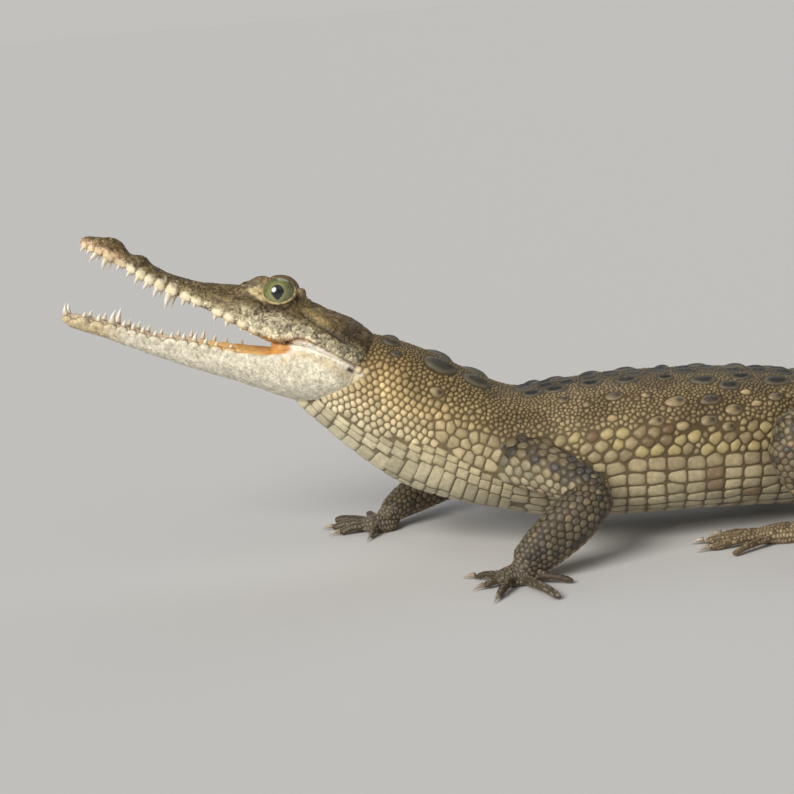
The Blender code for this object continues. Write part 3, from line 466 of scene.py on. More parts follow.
def paw_plan(name):
    """Palm centre, its directions, and for each digit its root, tip, direction and girth."""
    palm, heading, tips, size = PAWS[name]
    angle = math.radians(heading)
    forward = np.array([-math.cos(angle), -math.sin(angle), 0.0])
    across = np.array([forward[1], -forward[0], 0.0])
    centre = np.array([palm[0], palm[1], PALM_HALF + 0.3])
    digits = []
    for k, tip in enumerate(tips):
        way = np.array(tip) - centre[:2]
        reach = np.linalg.norm(way)
        way = way / reach
        thick = DIGIT_RADIUS * (1.08 if 0 < k < len(tips) - 1 else 0.96)
        root = centre[:2] + way * min(size[1] * 0.55, reach * 0.4)
        end = np.array(tip) - way * (CLAW_LENGTH * 0.72 if k < len(CLAWS) else 0.0)
        digits.append((root, end, way, thick))
    return centre, forward, across, size, digits


def paw_lofts(name, wrist_rows, grow):
    centre, forward, across, size, digits = paw_plan(name)
    up = np.array((0.0, 0.0, 1.0))
    lofts = [(name, *ellipsoid_rings(centre, (forward, across, up),
                                     (size[0], size[1], PALM_HALF + 0.9)))]
    wrist = wrist_rows[-1]
    link = (wrist[:3] + (wrist[3] * 0.94, wrist[4] * 0.9),
            (centre[0], centre[1], PALM_HALF + 0.6, size[1] * 0.72, PALM_HALF))
    lofts.append((name, *tube_rings(link, 1.5, 32, grow, 0.5)))
    for root, end, _, thick in digits:
        rows = []
        for share, high, girth in ((0.1, 3.0, 1.0), (0.36, 3.1, 1.04), (0.62, 2.8, 0.95),
                                   (0.8, 2.3, 0.95), (0.97, 1.5, 0.8)):
            x, y = root + share * (end - root)
            rows.append((x, y, high, thick * girth, thick * girth * 0.95))
        lofts.append((name, *tube_rings(rows, 1.0, 24, grow, 0.9)))
    return lofts


def all_lofts(grow):
    """Every closed shell of flesh as (region, distance along, rings)."""
    lofts = [("body", *body_rings(1.6, 96, grow)),
             ("head", *jaw_rings(HEAD_STATIONS, UPPER, 0.8, 96, grow)),
             ("jaw", *jaw_rings(JAW_STATIONS, LOWER, 0.8, 96, grow))]
    lid = EYE_RADIUS + 0.8
    for side in (-1, 1):
        lofts.append(("head", *ellipsoid_rings(eye_centre(side), side_axes(side),
                                               (lid + 1.4, lid * 0.93, lid))))
    for name, rows in LIMBS.items():
        lofts.append((name, *tube_rings(rows, 1.5, 48, grow)))
        if name in PAW_OF:
            lofts += paw_lofts(PAW_OF[name], rows, grow)
    return lofts


# ------------------------------------------------------------------ meshes
def frame_shift():
    """Millimetres between the animal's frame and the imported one, from the left eye's node."""
    low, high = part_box("eye_left")
    return eye_centre(-1) - (np.array(low) + np.array(high)) / 2 / MM


SHIFT = frame_shift()


def fetched(items, name, width=1, kind=np.int32):
    """One property of all items of a mesh, with a row for each."""
    flat = np.empty(len(items) * width, kind)
    items.foreach_get(name, flat)
    return flat.reshape(-1, width) if width > 1 else flat


def vectors(items, name):
    return fetched(items, name, 3, np.float32).astype(float)


def read_points(mesh):
    return vectors(mesh.vertices, "co") / MM + SHIFT


def packed(points):
    """Coordinates as a mesh keeps them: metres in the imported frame, in one row."""
    return ((points - SHIFT) * MM).astype(np.float32).ravel()


def write_points(mesh, points):
    mesh.vertices.foreach_set("co", packed(points))
    mesh.update()


def linked(name, data):
    obj = bpy.data.objects.new(name, data)
    bpy.context.scene.collection.objects.link(obj)
    return obj


def mesh_of(bm, name):
    mesh = bpy.data.meshes.new(name)
    bm.to_mesh(mesh)
    bm.free()
    return mesh


def new_mesh(name, points, groups):
    """Object from points and groups of equally sided faces, all smooth."""
    mesh = bpy.data.meshes.new(name)
    sizes = np.concatenate([np.full(len(g), g.shape[1]) for g in groups])
    corners = np.concatenate([g.ravel() for g in groups]).astype(np.int32)
    starts = np.concatenate([[0], np.cumsum(sizes)[:-1]]).astype(np.int32)
    mesh.vertices.add(len(points))
    mesh.loops.add(len(corners))
    mesh.polygons.add(len(sizes))
    mesh.vertices.foreach_set("co", packed(points))
    mesh.loops.foreach_set("vertex_index", corners)
    mesh.polygons.foreach_set("loop_start", starts)
    mesh.update(calc_edges=True)
    mesh.validate()
    mesh.shade_smooth()
    return linked(name, mesh)


def ring_faces(rings, count):
    """Quads between closed rings of count points."""
    r, k = grid_of(rings - 1, count)
    a = r * count + k
    b = r * count + (k + 1) % count
    return np.stack([a, b, b + count, a + count], -1).reshape(-1, 4)


def closed_shell(name, rings):
    """Object of one loft with flat ends."""
    many, count = rings.shape[:2]
    last = (many - 1) * count
    ends = np.array([np.arange(count)[::-1], last + np.arange(count)])
    return new_mesh(name, rings.reshape(-1, 3), [ring_faces(many, count), ends])


def joined(name, objects):
    """One object of closed shells, each with its faces turned outwards."""
    bm = bmesh.new()
    for obj in objects:
        part = bmesh.new()
        part.from_mesh(obj.data)
        bmesh.ops.recalc_face_normals(part, faces=part.faces)
        part.to_mesh(obj.data)
        part.free()
        bm.from_mesh(obj.data)
        bpy.data.objects.remove(obj)
    return linked(name, mesh_of(bm, name))


# ------------------------------------------------------------------ patches: places on the lofts
def by_arc(rings, columns):
    """Rings resampled at even shares of the way from the top (0) to the bottom (+-1)."""
    count = rings.shape[1]
    shares = np.linspace(0, 1, columns // 2 + 1)
    right = rings[:, :count // 2 + 1]
    left = rings[:, [0] + list(range(count - 1, count // 2 - 1, -1))]
    made, halves = [], []
    for half in (left, right):
        steps = np.linalg.norm(np.diff(half, axis=1), axis=2)
        way = np.concatenate([np.zeros((len(rings), 1)), np.cumsum(steps, 1)], 1)
        halves.append(way[:, -1])
        made.append(np.array([[np.interp(shares * far[-1], far, column) for column in ring.T]
                              for far, ring in zip(way, half)]).transpose(0, 2, 1))
    grid = np.concatenate([made[0][:, :0:-1], made[1]], 1)
    return grid, (halves[0] + halves[1]) / 2


class Patch:
    """A loft's surface by distance along and share of the way round, -1 to 1 from the top."""

    def __init__(self, region, along, rings, columns=64):
        self.region, self.along = region, along
        self.grid, self.half = by_arc(rings, columns)
        self.columns = self.grid.shape[1]

    def at(self, s, share):
        row = np.interp(s, self.along, np.arange(len(self.along)))
        col = (np.asarray(share) + 1) / 2 * (self.columns - 1)
        r = np.clip(np.floor(row).astype(int), 0, len(self.along) - 2)
        c = np.clip(np.floor(col).astype(int), 0, self.columns - 2)
        tr, tc = (row - r)[..., None], (col - c)[..., None]
        g = self.grid
        return ((1 - tr) * ((1 - tc) * g[r, c] + tc * g[r, c + 1])
                + tr * ((1 - tc) * g[r + 1, c] + tc * g[r + 1, c + 1]))

    def way(self, s, share, step=0.6):
        """Direction along the part."""
        return unit(self.at(s + step, share) - self.at(s - step, share))

    def girth(self, s):
        return np.interp(s, self.along, self.half)


class Guide:
    """All patches together: finds the nearest place on them for any point."""

    def __init__(self, patches):
        self.patches = patches
        points, faces, self.rows, base = [], [], [], 0
        for index, p in enumerate(patches):
            many, cols = p.grid.shape[:2]
            points.append(p.grid.reshape(-1, 3))
            r, c = grid_of(many - 1, cols - 1)
            a = base + r * cols + c
            faces.append(np.stack([a, a + 1, a + cols + 1, a + cols], -1).reshape(-1, 4))
            self.rows.append(np.stack([np.full(r.size, index), r.ravel(), c.ravel()], 1))
            base += many * cols
        self.points = np.concatenate(points)
        self.faces = np.concatenate(faces)
        self.rows = np.concatenate(self.rows)
        self.tree = BVHTree.FromPolygons(self.points.tolist(), self.faces.tolist())

    def locate(self, points):
        """Patch number, distance along, share round, and unit directions along and round."""
        hits = [self.tree.find_nearest(p) for p in points.tolist()]
        face = np.array([h[2] for h in hits])
        spot = np.array([h[0][:] for h in hits])
        patch, r, c = self.rows[face].T
        a, b, d, e = (self.points[self.faces[face, k]] for k in range(4))
        round_ = (b - a + d - e) / 2
        ahead = (e - a + d - b) / 2
        rel = spot - (a + b + d + e) / 4
        gap = np.linalg.norm(spot - points, axis=1)
        u = np.clip(dot(rel, round_) / np.maximum(dot(round_, round_), 1e-9) + 0.5, 0, 1)
        v = np.clip(dot(rel, ahead) / np.maximum(dot(ahead, ahead), 1e-9) + 0.5, 0, 1)
        along, share = np.zeros(len(face)), np.zeros(len(face))
        for index, p in enumerate(self.patches):
            mine = patch == index
            low, high = p.along[r[mine]], p.along[r[mine] + 1]
            along[mine] = low + v[mine] * (high - low)
            share[mine] = (c[mine] + u[mine]) / (p.columns - 1) * 2 - 1
        return patch, along, share, unit(ahead), unit(round_), gap


# ------------------------------------------------------------------ the skin
STRETCH = 3.3                   # how much finer the head's mesh is than the body's
VOXEL = 0.95


def stretch_table():
    x = np.arange(-400.0, 700.0, 0.5)
    m = 1.0 + (STRETCH - 1.0) * fade(-24.0, 22.0, x)
    far = np.concatenate([[0.0], np.cumsum((m[1:] + m[:-1]) / 2 * 0.5)])
    return x, m, far


def stretched(points):
    x, m, far = stretch_table()
    size = np.interp(points[:, 0], x, m)
    return np.column_stack([np.interp(points[:, 0], x, far), points[:, 1] * size,
                            points[:, 2] * size])


def unstretched(points):
    x, m, far = stretch_table()
    back = np.interp(points[:, 0], far, x)
    size = np.interp(back, x, m)
    return np.column_stack([back, points[:, 1] / size, points[:, 2] / size])


def edges_of(mesh):
    return fetched(mesh.edges, "vertices", 2)


def neighbour_sum(values, edges):
    """For each vertex, the sum of its neighbours' values."""
    a, b = edges.T
    many = len(values)
    return np.bincount(a, values[b], many) + np.bincount(b, values[a], many)


def degree_of(edges, many):
    return np.bincount(edges[:, 0], minlength=many) + np.bincount(edges[:, 1], minlength=many)


def relaxed(points, edges, weight, rounds):
    """Laplacian smoothing by weight at each point."""
    degree = np.maximum(degree_of(edges, len(points)), 1)[:, None]
    for _ in range(rounds):
        total = np.stack([neighbour_sum(column, edges) for column in points.T], 1)
        points = points + weight[:, None] * (total / degree - points)
    return points


def normals_of(points, mesh):
    write_points(mesh, points)
    return vectors(mesh.vertex_normals, "vector")


def remeshed(obj):
    """Voxel union of the shells, finer at the head."""
    write_points(obj.data, stretched(read_points(obj.data)))
    mod = obj.modifiers.new("union", "REMESH")
    mod.mode = "VOXEL"
    mod.voxel_size = VOXEL * MM
    mod.adaptivity = 0.0
    graph = bpy.context.evaluated_depsgraph_get()
    mesh = bpy.data.meshes.new_from_object(obj.evaluated_get(graph))
    obj.modifiers.clear()
    obj.data = mesh
    write_points(mesh, unstretched(read_points(mesh)))
    mesh.shade_smooth()
    return obj


def junctions(guide, points, reach):
    """1 where two different members of the body meet, fading out over reach."""
    kin = {"body": 0, "head": 1, "jaw": 1}
    groups = {}
    for p in guide.patches:
        group = kin.get(p.region, 2 if "upper_arm" in p.region or "thigh" in p.region else 3)
        groups.setdefault(group, []).append(p)
    near = []
    for group in (0, 1, 2, 3):
        tree = Guide(groups[group]).tree
        near.append(np.array([tree.find_nearest(p)[3] for p in points.tolist()]))
    weight = np.zeros(len(points))
    for a, b in ((0, 1), (0, 2), (2, 3)):
        weight = np.maximum(weight, fade(0.3, 1.0, (near[a] + near[b]) / reach))
    return weight


def mirrored(local):
    """Head-frame points folded onto one side."""
    folded = local.copy()
    folded[:, 1] = np.abs(folded[:, 1])
    return folded


def eye_field(points, side):
    """How far out of the lid opening each point lies (1 at its edge), and way and reach."""
    rel = to_head(UPPER, points) - by_side(EYE_AT, side)
    rel[:, 1] *= side
    reach = np.linalg.norm(rel, axis=1)
    way = rel / np.maximum(reach, 1e-6)[:, None]
    x = (way @ np.array(EYE_FRONT) - LID_MIDDLE[0]) / LID_HALF[0]
    y = (way @ np.array(EYE_UPWARD) - LID_MIDDLE[1]) / LID_HALF[1]
    behind = np.maximum(-(way @ np.array(EYE_WAY)), 0.0)
    return np.hypot(x, y) + 1.4 * behind + 0.12 * np.maximum(reach - 13.0, 0.0), reach


def open_lids(points):
    """Sinks the skin under each eyeball and raises a thin rim round it."""
    for side in (-1, 1):
        centre = eye_centre(side)
        out, reach = eye_field(points, side)
        look = unit(points - centre) @ (np.array((EYE_WAY[0], side * EYE_WAY[1], EYE_WAY[2]))
                                        @ UPPER)
        high = smoothstep(0.0, 0.5, unit(points - centre) @ (np.array(EYE_UPWARD)
                                                             * (1.0, side, 1.0) @ UPPER))
        rise = (0.30 + 0.25 * high) * smoothstep(0.955, 1.02, out)
        rise -= 0.9 * fade(0.93, 0.99, out)
        rim = rise + 0.12 * bell(out - 1.07, 0.05) - 0.15 * bell(out - 1.19, 0.05)
        target = EYE_RADIUS + rim
        if side > 0:
            over = reach - EYE_RADIUS
            thin = 1 - 0.65 * fade(1.5, 4.0, over)
            reach_new = np.where((over > 0) & (over < 4.0), EYE_RADIUS + over * thin, reach)
            points = centre + (points - centre) * (reach_new / np.maximum(reach, 1e-6))[:, None]
            reach = reach_new
        keep = smoothstep(1.10, 1.42, out)
        aside = smoothstep(EYE_RADIUS + 1.4, EYE_RADIUS + 2.6, reach)
        keep = np.maximum(keep, aside * fade(0.02, 0.14, look))
        radius = target + (reach - target) * keep
        radius = np.where(reach < 17.0, radius, reach)
        points = centre + (points - centre) * (radius / np.maximum(reach, 1e-6))[:, None]
    return points


def seen(points, normals, axes, stations):
    """Places and directions in a jaw's frame, folded onto one side, with its sections there."""
    local = mirrored(to_head(axes, points))
    row = through(stations, local[:, 0])
    rel = (local[:, 2] - row[:, 4]) / np.maximum(row[:, 2] - row[:, 4], 1.0)
    return local, normals @ axes.T, row, rel


def festoons(ahead, teeth):
    """Height of the swelling over each tooth's root, and the same without its size."""
    roots = np.array([t[0] for t in teeth])
    sizes = np.clip(np.abs([t[2] for t in teeth]) / 6.0, 0.50, 1.20)
    gaps = np.abs(np.diff(roots))
    total, plain = np.zeros(len(ahead)), np.zeros(len(ahead))
    for k, root in enumerate(roots):
        front = min(gaps[k - 1] / 2 if k else 2.4, 2.9)
        rear = min(gaps[k] / 2 if k < len(gaps) else 2.4, 2.9)
        away = ahead - root
        share = np.where(away > 0, away / front, -away / rear)
        shape = np.clip(1 - share ** 2, 0, 1) ** 0.6
        plain = np.maximum(plain, shape)
        total = np.maximum(total, shape * sizes[k])
    return total, plain


def upper_lip(ahead):
    """Swelling over each upper tooth, the same without its size, height of the lip, and 1
    where the jaw has teeth."""
    lobe, plain = festoons(ahead, UPPER_TEETH)
    return lobe, plain, 2.4 + 2.6 * np.clip(lobe, 0.3, 1.2), smoothstep(34.0, 42.0, ahead)


def flank_of(out):
    """1 on the sides of the head, away from its middle plane."""
    return smoothstep(7.0, 10.0, out)


def fold_width(ahead, growth):
    """Half width of the lip's fold, which widens towards the eye."""
    return 0.8 + growth * smoothstep(8.0, 19.0, ahead)


def over_fold(colour, tone, plane, flank):
    """The smooth pale skin of the lip's fold."""
    wide = fold_width(plane[:, 0], 1.0)
    away = line_gap(plane, FOLD_LINE)
    return mix(colour, tone, flank * fade(wide * 0.8, wide * 1.3, away))


def head_relief(points, normals):
    """Outward displacement of the head above the mouth, with its furrows and scale cells."""
    local, facing, row, rel = seen(points, normals, UPPER, HEAD_STATIONS)
    ahead, out, up = local.T
    above = up - row[:, 4]
    lobe, plain, tall, toothed = upper_lip(ahead)
    side_on = smoothstep(0.1, 0.5, np.abs(facing[:, 1]))
    band = smoothstep(-0.6, 0.6, above) * fade(0.55, 1.0, above / tall) * toothed
    lift = (0.80 * lobe - 0.30 * (1 - plain)) * band * side_on
    groove = fade(0.0, 0.60, plain) * band * (1 - 0.5 * above / tall)
    # nostrils on their mound, and low swellings of the snout and the skull
    on_top = smoothstep(0.0, 0.4, facing[:, 2])
    rim = np.hypot(ahead - 111.0, out - 2.3)
    lift += 0.45 * bell(rim - 1.7, 0.7) * on_top
    slit = np.hypot((ahead - 111.2) * 0.6, (out - 2.2) * 1.5)
    lift -= 1.0 * bell(slit, 0.6) * on_top
    lift += 0.5 * bell(np.hypot(ahead - 95.5, out - 1.5), 2.2) * on_top
    lift += 0.9 * bell(np.hypot(ahead - 9.5, out - 7.0), 5.0) * on_top
    # ridge over the ear and the groove under it; lip fold and the crease over it
    plane = np.column_stack([ahead, up])
    ear = line_gap(plane, EAR_LINE)
    span = smoothstep(2.0, 7.0, ahead) * fade(24.0, 31.0, ahead)
    below = line_gap(plane + (0.0, 1.7), EAR_LINE)
    lift += span * (0.85 * bell(ear, 1.1) - 0.95 * bell(below, 0.75))
    crease = line_gap(plane, CREASE_LINE)
    fold = line_gap(plane, FOLD_LINE)
    flank = flank_of(out)
    wide = fold_width(ahead, 1.1)
    lift += flank * (0.75 * bell(fold, wide) - 0.85 * bell(crease, 0.55))
    corner = line_gap(plane, CORNER_LINE)
    lift -= 0.7 * bell(corner, 0.42) * flank
    slit = line_gap(plane, SLIT_LINE)
    lift -= flank * 1.2 * bell(slit, 0.7)
    # painted shade in the crease over the lip's fold, the ear's slit, the corner line, the groove
    # under the ear's ridge and the grooves between the gums' swellings
    dark = flank * (0.30 * bell(crease, 0.6) + bell(slit, 0.9)) + 0.85 * bell(corner, 0.42) * flank
    dark += span * 0.55 * bell(below, 0.9) + 0.38 * groove
    # cracked scales: coarse under the eye and behind it, fine on the snout
    cheek = bell(np.hypot((ahead - 38.0) / 1.7, up - 7.5), 8.0)
    temple = fade(22.0, 34.0, ahead)
    blend = np.clip(np.maximum(cheek * 1.2, temple * 0.9), 0, 1)
    squash = points @ UPPER.T * (0.8, 1.0, 1.0) + 0.7 * noise(points, 3.0, 8)[:, None]
    fine, coarse = cells(squash, 0.95, 5), cells(squash, 1.55, 11)
    broad = cells(squash + 0.5 * noise(points, 1.5, 12)[:, None], 4.4, 13)
    split = fade(0.01, 0.06, broad[1] - broad[0]) * smoothstep(
        0.42, 0.62, noise(points, 5.0, 14))
    gap_fine = fade(0.02, 0.24, fine[1] - fine[0])
    gap_coarse = fade(0.01, 0.15, coarse[1] - coarse[0])
    gap_coarse = np.maximum(0.75 * gap_coarse, 1.25 * split)
    under = fade(-0.02, 0.05, rel)
    quiet = np.clip(bell(fold, 1.6) * flank + under + 1.1 * plain * band, 0, 1)
    crack = (gap_fine * (1 - blend) * 0.85 + gap_coarse * blend) * (1 - quiet)
    patchy = smoothstep(0.30, 0.62, noise(points, 3.4, 64))
    crack *= 0.45 + 0.75 * patchy
    dome = (0.28 * (1 - fine[0]) * (1 - blend) + 0.34 * (1 - coarse[0]) * blend) * (1 - quiet)
    lift += dome - (0.22 + 0.22 * blend) * crack
    lift += 0.45 * (noise(points, 4.2, 61) - 0.5) * (1 - quiet)
    own = 0.5 + (np.where(blend > 0.5, coarse[2], fine[2]) - 0.5) * (1 - quiet)
    # gums hang down at each tooth
    drop = 1.35 * lobe * bell(above, 1.1) * smoothstep(0.40, 0.75, out / row[:, 1])
    drop += 0.4 * lobe * toothed * bell(above - 1.6, 1.2) * side_on
    sink = np.zeros((len(points), 3)) - (drop * toothed)[:, None] * UPPER[2]
    return lift, np.clip(dark, 0, 1), np.clip(crack, 0, 1), own, sink


def scallops(ahead, up, row):
    """Arched groove over each swelling of the lower lip: how near it is."""
    lobe, plain = festoons(ahead, LOWER_TEETH)
    depth = row[:, 2] - up
    arch = 0.7 + 1.5 * (1 - plain)
    toothed = smoothstep(40.0, 50.0, ahead)
    return bell(depth - arch, 0.38) * toothed, lobe, plain, depth, toothed


def jaw_relief(points, normals):
    """The same for the lower jaw: lobes, lip fold, trough for the tongue."""
    local, facing, row, _ = seen(points, normals, LOWER, JAW_STATIONS)
    ahead, out, up = local.T
    arch, lobe, plain, depth, toothed = scallops(ahead, up, row)
    outer = smoothstep(0.2, 0.6, np.abs(facing[:, 1]))
    swell = plain * toothed * outer * smoothstep(0.5, 1.6, depth) * fade(2.6, 4.6, depth)
    plane = mirrored(to_head(UPPER, points))[:, [0, 2]]
    flank = flank_of(out)
    wide = fold_width(plane[:, 0], 1.1)
    fold = bell(line_gap(plane, FOLD_LINE), wide) * flank
    crease = bell(line_gap(plane, CREASE_LINE), 0.55) * flank
    slit = bell(line_gap(plane, SLIT_LINE), 0.7) * flank
    grain = cells(points, 1.7, 23)
    gap = fade(0.02, 0.16, grain[1] - grain[0])
    top = smoothstep(0.55, 0.85, facing[:, 2])
    quiet = np.clip(fold + top, 0, 1)
    crack = gap * (1 - quiet) * (0.35 + 0.65 * smoothstep(0.4, 0.7, noise(points, 6.0, 65)))
    lift = 0.60 * swell - 0.45 * arch * outer + 0.70 * fold
    lift += 0.10 * (1 - grain[0]) * (1 - quiet) - 0.85 * crease - 1.2 * slit - 0.08 * crack
    lift += 0.35 * (noise(points, 5.0, 71) - 0.5) * (1 - quiet)
    # painted shade in the crease, the slit and the arched grooves over the lip's swellings
    dark = np.clip(0.30 * crease + slit + 0.70 * arch * outer, 0, 1)
    own = 0.5 + (grain[2] - 0.5) * (1 - quiet) * 0.35
    # bed of the tongue, and gums round each tooth
    bed = np.interp(ahead, *np.array(TROUGH).T)
    middle = fade(0.56, 0.78, out / np.maximum(row[:, 1], 1.0))
    along = smoothstep(30.0, 40.0, ahead) * fade(107.0, 114.0, ahead)
    deep = np.minimum(bed - up, 0.0) * middle * along * smoothstep(0.3, 0.6, facing[:, 2])
    rise = 0.55 * lobe * bell(out / np.maximum(row[:, 1], 1.0) - 0.80, 0.16) * top
    sink = (deep + rise * toothed)[:, None] * LOWER[2]
    return lift, dark, crack * 0.30, own, sink


def soft_membership(guide, place, edges):
    """Shares of each vertex that belong to the head and to the jaw, faded at the borders."""
    region = np.array([p.region for p in guide.patches])[place[0]]
    stack = np.stack([(region == "head"), (region == "jaw")], 1).astype(float)
    degree = np.maximum(degree_of(edges, len(region)), 1)
    for _ in range(4):
        for share in stack.T:
            share[:] = 0.4 * share + 0.6 * neighbour_sum(share, edges) / degree
    return stack


def brow_smoothed(points, edges):
    """Blends the eye mounds into the skull."""
    weight = np.zeros(len(points))
    for side in (-1, 1):
        for spot in (EYE_AT, BROW[0], BROW_TOE[0]):
            middle = from_head(UPPER, by_side(spot, side))
            far = np.linalg.norm(points - middle, axis=1)
            weight = np.maximum(weight, fade(9.0, 14.0, far))
    active = (weight[edges] > 0).any(axis=1)
    keep = np.unique(edges[active])
    back = np.full(len(points), -1)
    back[keep] = np.arange(len(keep))
    pinned = weight[keep] * 0.7
    points[keep] = relaxed(points[keep], back[edges[active]], pinned, 60)
    return points


def skin_shells():
    """Closed shells whose union is the skin's rough form."""
    shells = [closed_shell("shell", rings) for _, _, rings in all_lofts(-COAT)]
    for side, ((middle, size), share) in product((-1, 1), MOUNDS):
        place = from_head(UPPER, by_side(middle, side, share))
        shells.append(closed_shell("shell", ellipsoid_rings(place, side_axes(side), size)[1]))
    web = jaw_rings(WEB_STATIONS, head_axes(WEB_PITCH), 0.6, 64, 0.0)[1]
    return shells + [closed_shell("shell", web)]


def build_skin(guide):
    """Skin object, and for each vertex the painted shade of its furrows, how cracked it is and its
    tone.
    """
    skin = remeshed(joined("skin", skin_shells()))
    points, edges = read_points(skin.data), edges_of(skin.data)
    points = relaxed(points, edges, np.full(len(points), 0.5), 2)
    weight = junctions(guide, points, 5.0)
    points = relaxed(points, edges, weight * 0.6, 14)
    points = brow_smoothed(points, edges)
    points = open_lids(points)
    normals = normals_of(points, skin.data)
    part = soft_membership(guide, guide.locate(points), edges)
    face = points[:, 0] < 0.0
    near = points[face]
    calm = smoothstep(1.06, 1.20, np.minimum(eye_field(near, -1)[0], eye_field(near, 1)[0]))
    total = [np.zeros(len(points)) for _ in range(4)]
    shift = np.zeros((len(points), 3))
    for k, relief in enumerate((head_relief, jaw_relief)):
        values = relief(near, normals[face])
        for kept, value in zip(total, values[:4]):
            kept[face] += part[face, k] * value
        shift[face] += part[face, k, None] * values[4]
    for kept in total[:3]:
        kept[face] *= calm
    lift, dark, crack, own = total
    points = points + lift[:, None] * normals + shift
    points[:, 2] = np.maximum(points[:, 2], 0.02)
    write_points(skin.data, points)
    return skin, dark, crack, own


# ------------------------------------------------------------------ colours, linear
PALE = (0.75, 0.70, 0.56)
IVORY = (0.70, 0.62, 0.43)
UMBER = (0.075, 0.050, 0.024)
SLATE = (0.030, 0.036, 0.041)
GAP_SHADE = (0.47, 0.42, 0.35)              # painted shade of the skin in the gaps between scales, beside its own colour
ORANGE = (0.62, 0.28, 0.060)
WHITE = (1.0, 1.0, 1.0)
# at distances along the body: share of the way round from the back, red, green, blue
BODY_COLOURS = (
    (-10.0, ((0.0, 0.12, 0.085, 0.036), (0.16, 0.15, 0.105, 0.04), (0.3, 0.44, 0.32, 0.142),
             (0.4, 0.56, 0.43, 0.21), (0.52, 0.5, 0.41, 0.245), (0.66, 0.43, 0.385, 0.26),
             (1.0, 0.42, 0.38, 0.26))),
    (18.0, ((0.0, 0.1, 0.075, 0.038), (0.2, 0.17, 0.122, 0.054), (0.38, 0.27, 0.205, 0.1),
            (0.52, 0.35, 0.29, 0.17), (0.66, 0.36, 0.32, 0.21), (1.0, 0.38, 0.34, 0.225))),
    (40.0, ((0.0, 0.1, 0.075, 0.038), (0.2, 0.17, 0.125, 0.06), (0.38, 0.25, 0.195, 0.1),
            (0.52, 0.31, 0.26, 0.158), (0.66, 0.27, 0.235, 0.155), (1.0, 0.25, 0.215, 0.14))),
    (70.0, ((0.0, 0.1, 0.082, 0.048), (0.2, 0.21, 0.16, 0.088), (0.4, 0.24, 0.19, 0.1),
            (0.52, 0.28, 0.23, 0.135), (0.66, 0.34, 0.3, 0.195), (1.0, 0.36, 0.31, 0.21))),
    (100.0, ((0.0, 0.095, 0.078, 0.046), (0.2, 0.155, 0.118, 0.062), (0.4, 0.21, 0.16, 0.082),
             (0.52, 0.26, 0.213, 0.125), (0.66, 0.32, 0.28, 0.18), (1.0, 0.34, 0.29, 0.2))),
    (170.0, ((0.0, 0.09, 0.074, 0.044), (0.2, 0.15, 0.112, 0.056), (0.4, 0.18, 0.14, 0.07),
             (0.52, 0.22, 0.18, 0.105), (0.66, 0.28, 0.245, 0.16), (1.0, 0.4, 0.36, 0.26))),
    (240.0, ((0.0, 0.085, 0.068, 0.038), (0.3, 0.14, 0.108, 0.054), (0.55, 0.19, 0.155, 0.085),
             (0.72, 0.27, 0.235, 0.145), (0.86, 0.38, 0.345, 0.245), (1.0, 0.48, 0.44, 0.32))),
)
LIMB_COLOURS = {
    "left_upper_arm": (0.175, 0.143, 0.082), "right_upper_arm": (0.10, 0.083, 0.053),
    "left_forearm": (0.102, 0.085, 0.058), "right_forearm": (0.125, 0.102, 0.066),
    "left_hand": (0.145, 0.124, 0.094), "right_hand": (0.15, 0.128, 0.092),
    "left_thigh": (0.14, 0.118, 0.074), "right_thigh": (0.14, 0.118, 0.074),
    "left_shank": (0.17, 0.138, 0.088), "right_shank": (0.17, 0.138, 0.088),
    # the feet's own tone, raised as painted light against the shadow they lie in
    "left_foot": (0.26, 0.205, 0.125), "right_foot": (0.26, 0.205, 0.125),
}


def body_colour(s, share, points):
    share = np.abs(share)
    places = [row[0] for row in BODY_COLOURS]
    bands = np.stack([ramp(share, row[1]) for row in BODY_COLOURS], 0)
    where = np.clip(np.interp(s, places, np.arange(len(places))), 0, len(places) - 1)
    low = np.minimum(np.floor(where).astype(int), len(places) - 2)
    t = (where - low)[:, None]
    index = np.arange(len(s))
    colour = bands[low, index] * (1 - t) + bands[low + 1, index] * t
    # cross bands of the tail, strongest high on the sides
    band = smoothstep(0.1, 0.7, np.sin(2 * math.pi * (s - 214.0) / 31.0 + 1.2 * (
        noise(points, 14.0, 21) - 0.5))) * smoothstep(205, 240, s)
    colour = mix(colour, UMBER, 0.62 * band * fade(0.55, 0.85, share))
    # dark blotches on the nape and upper flanks
    patch = smoothstep(0.60, 0.76, noise(points, 13.0, 3)) * fade(0.40, 0.62, share)
    colour = mix(colour, UMBER, 0.45 * patch)
    nape = bell(np.hypot(s - 4.0, (share - 0.31) * 80.0), 7.0)
    return mix(colour, UMBER, 0.55 * nape)


def jaw_edge(share):
    """Distance along the body at which the jaw's smooth skin gives way to the neck's."""
    share = np.abs(share)
    return np.where(share > 0.39, -11.6 - 29.0 * (share - 0.39), -11.6 + 25.0 * (0.39 - share))


def behind_jaw(along, share):
    """1 on the strip of the neck that carries the jaw's smooth skin."""
    near = fade(-1.0, 0.4, along - jaw_edge(share))
    return near * smoothstep(0.34, 0.40, np.abs(share))


def trunk_colour(along, share, points, normals):
    """Neck, trunk and tail, with the jaw's skin where it runs on over the neck."""
    jaw = 0.86 * jaw_colour(points, normals)
    colour = mix(body_colour(along, share, points), jaw, behind_jaw(along, share))
    crease = bell(along - jaw_edge(share), 0.8) * smoothstep(0.34, 0.40, np.abs(share))
    return mix(colour, (0.40, 0.30, 0.13), 0.7 * crease)


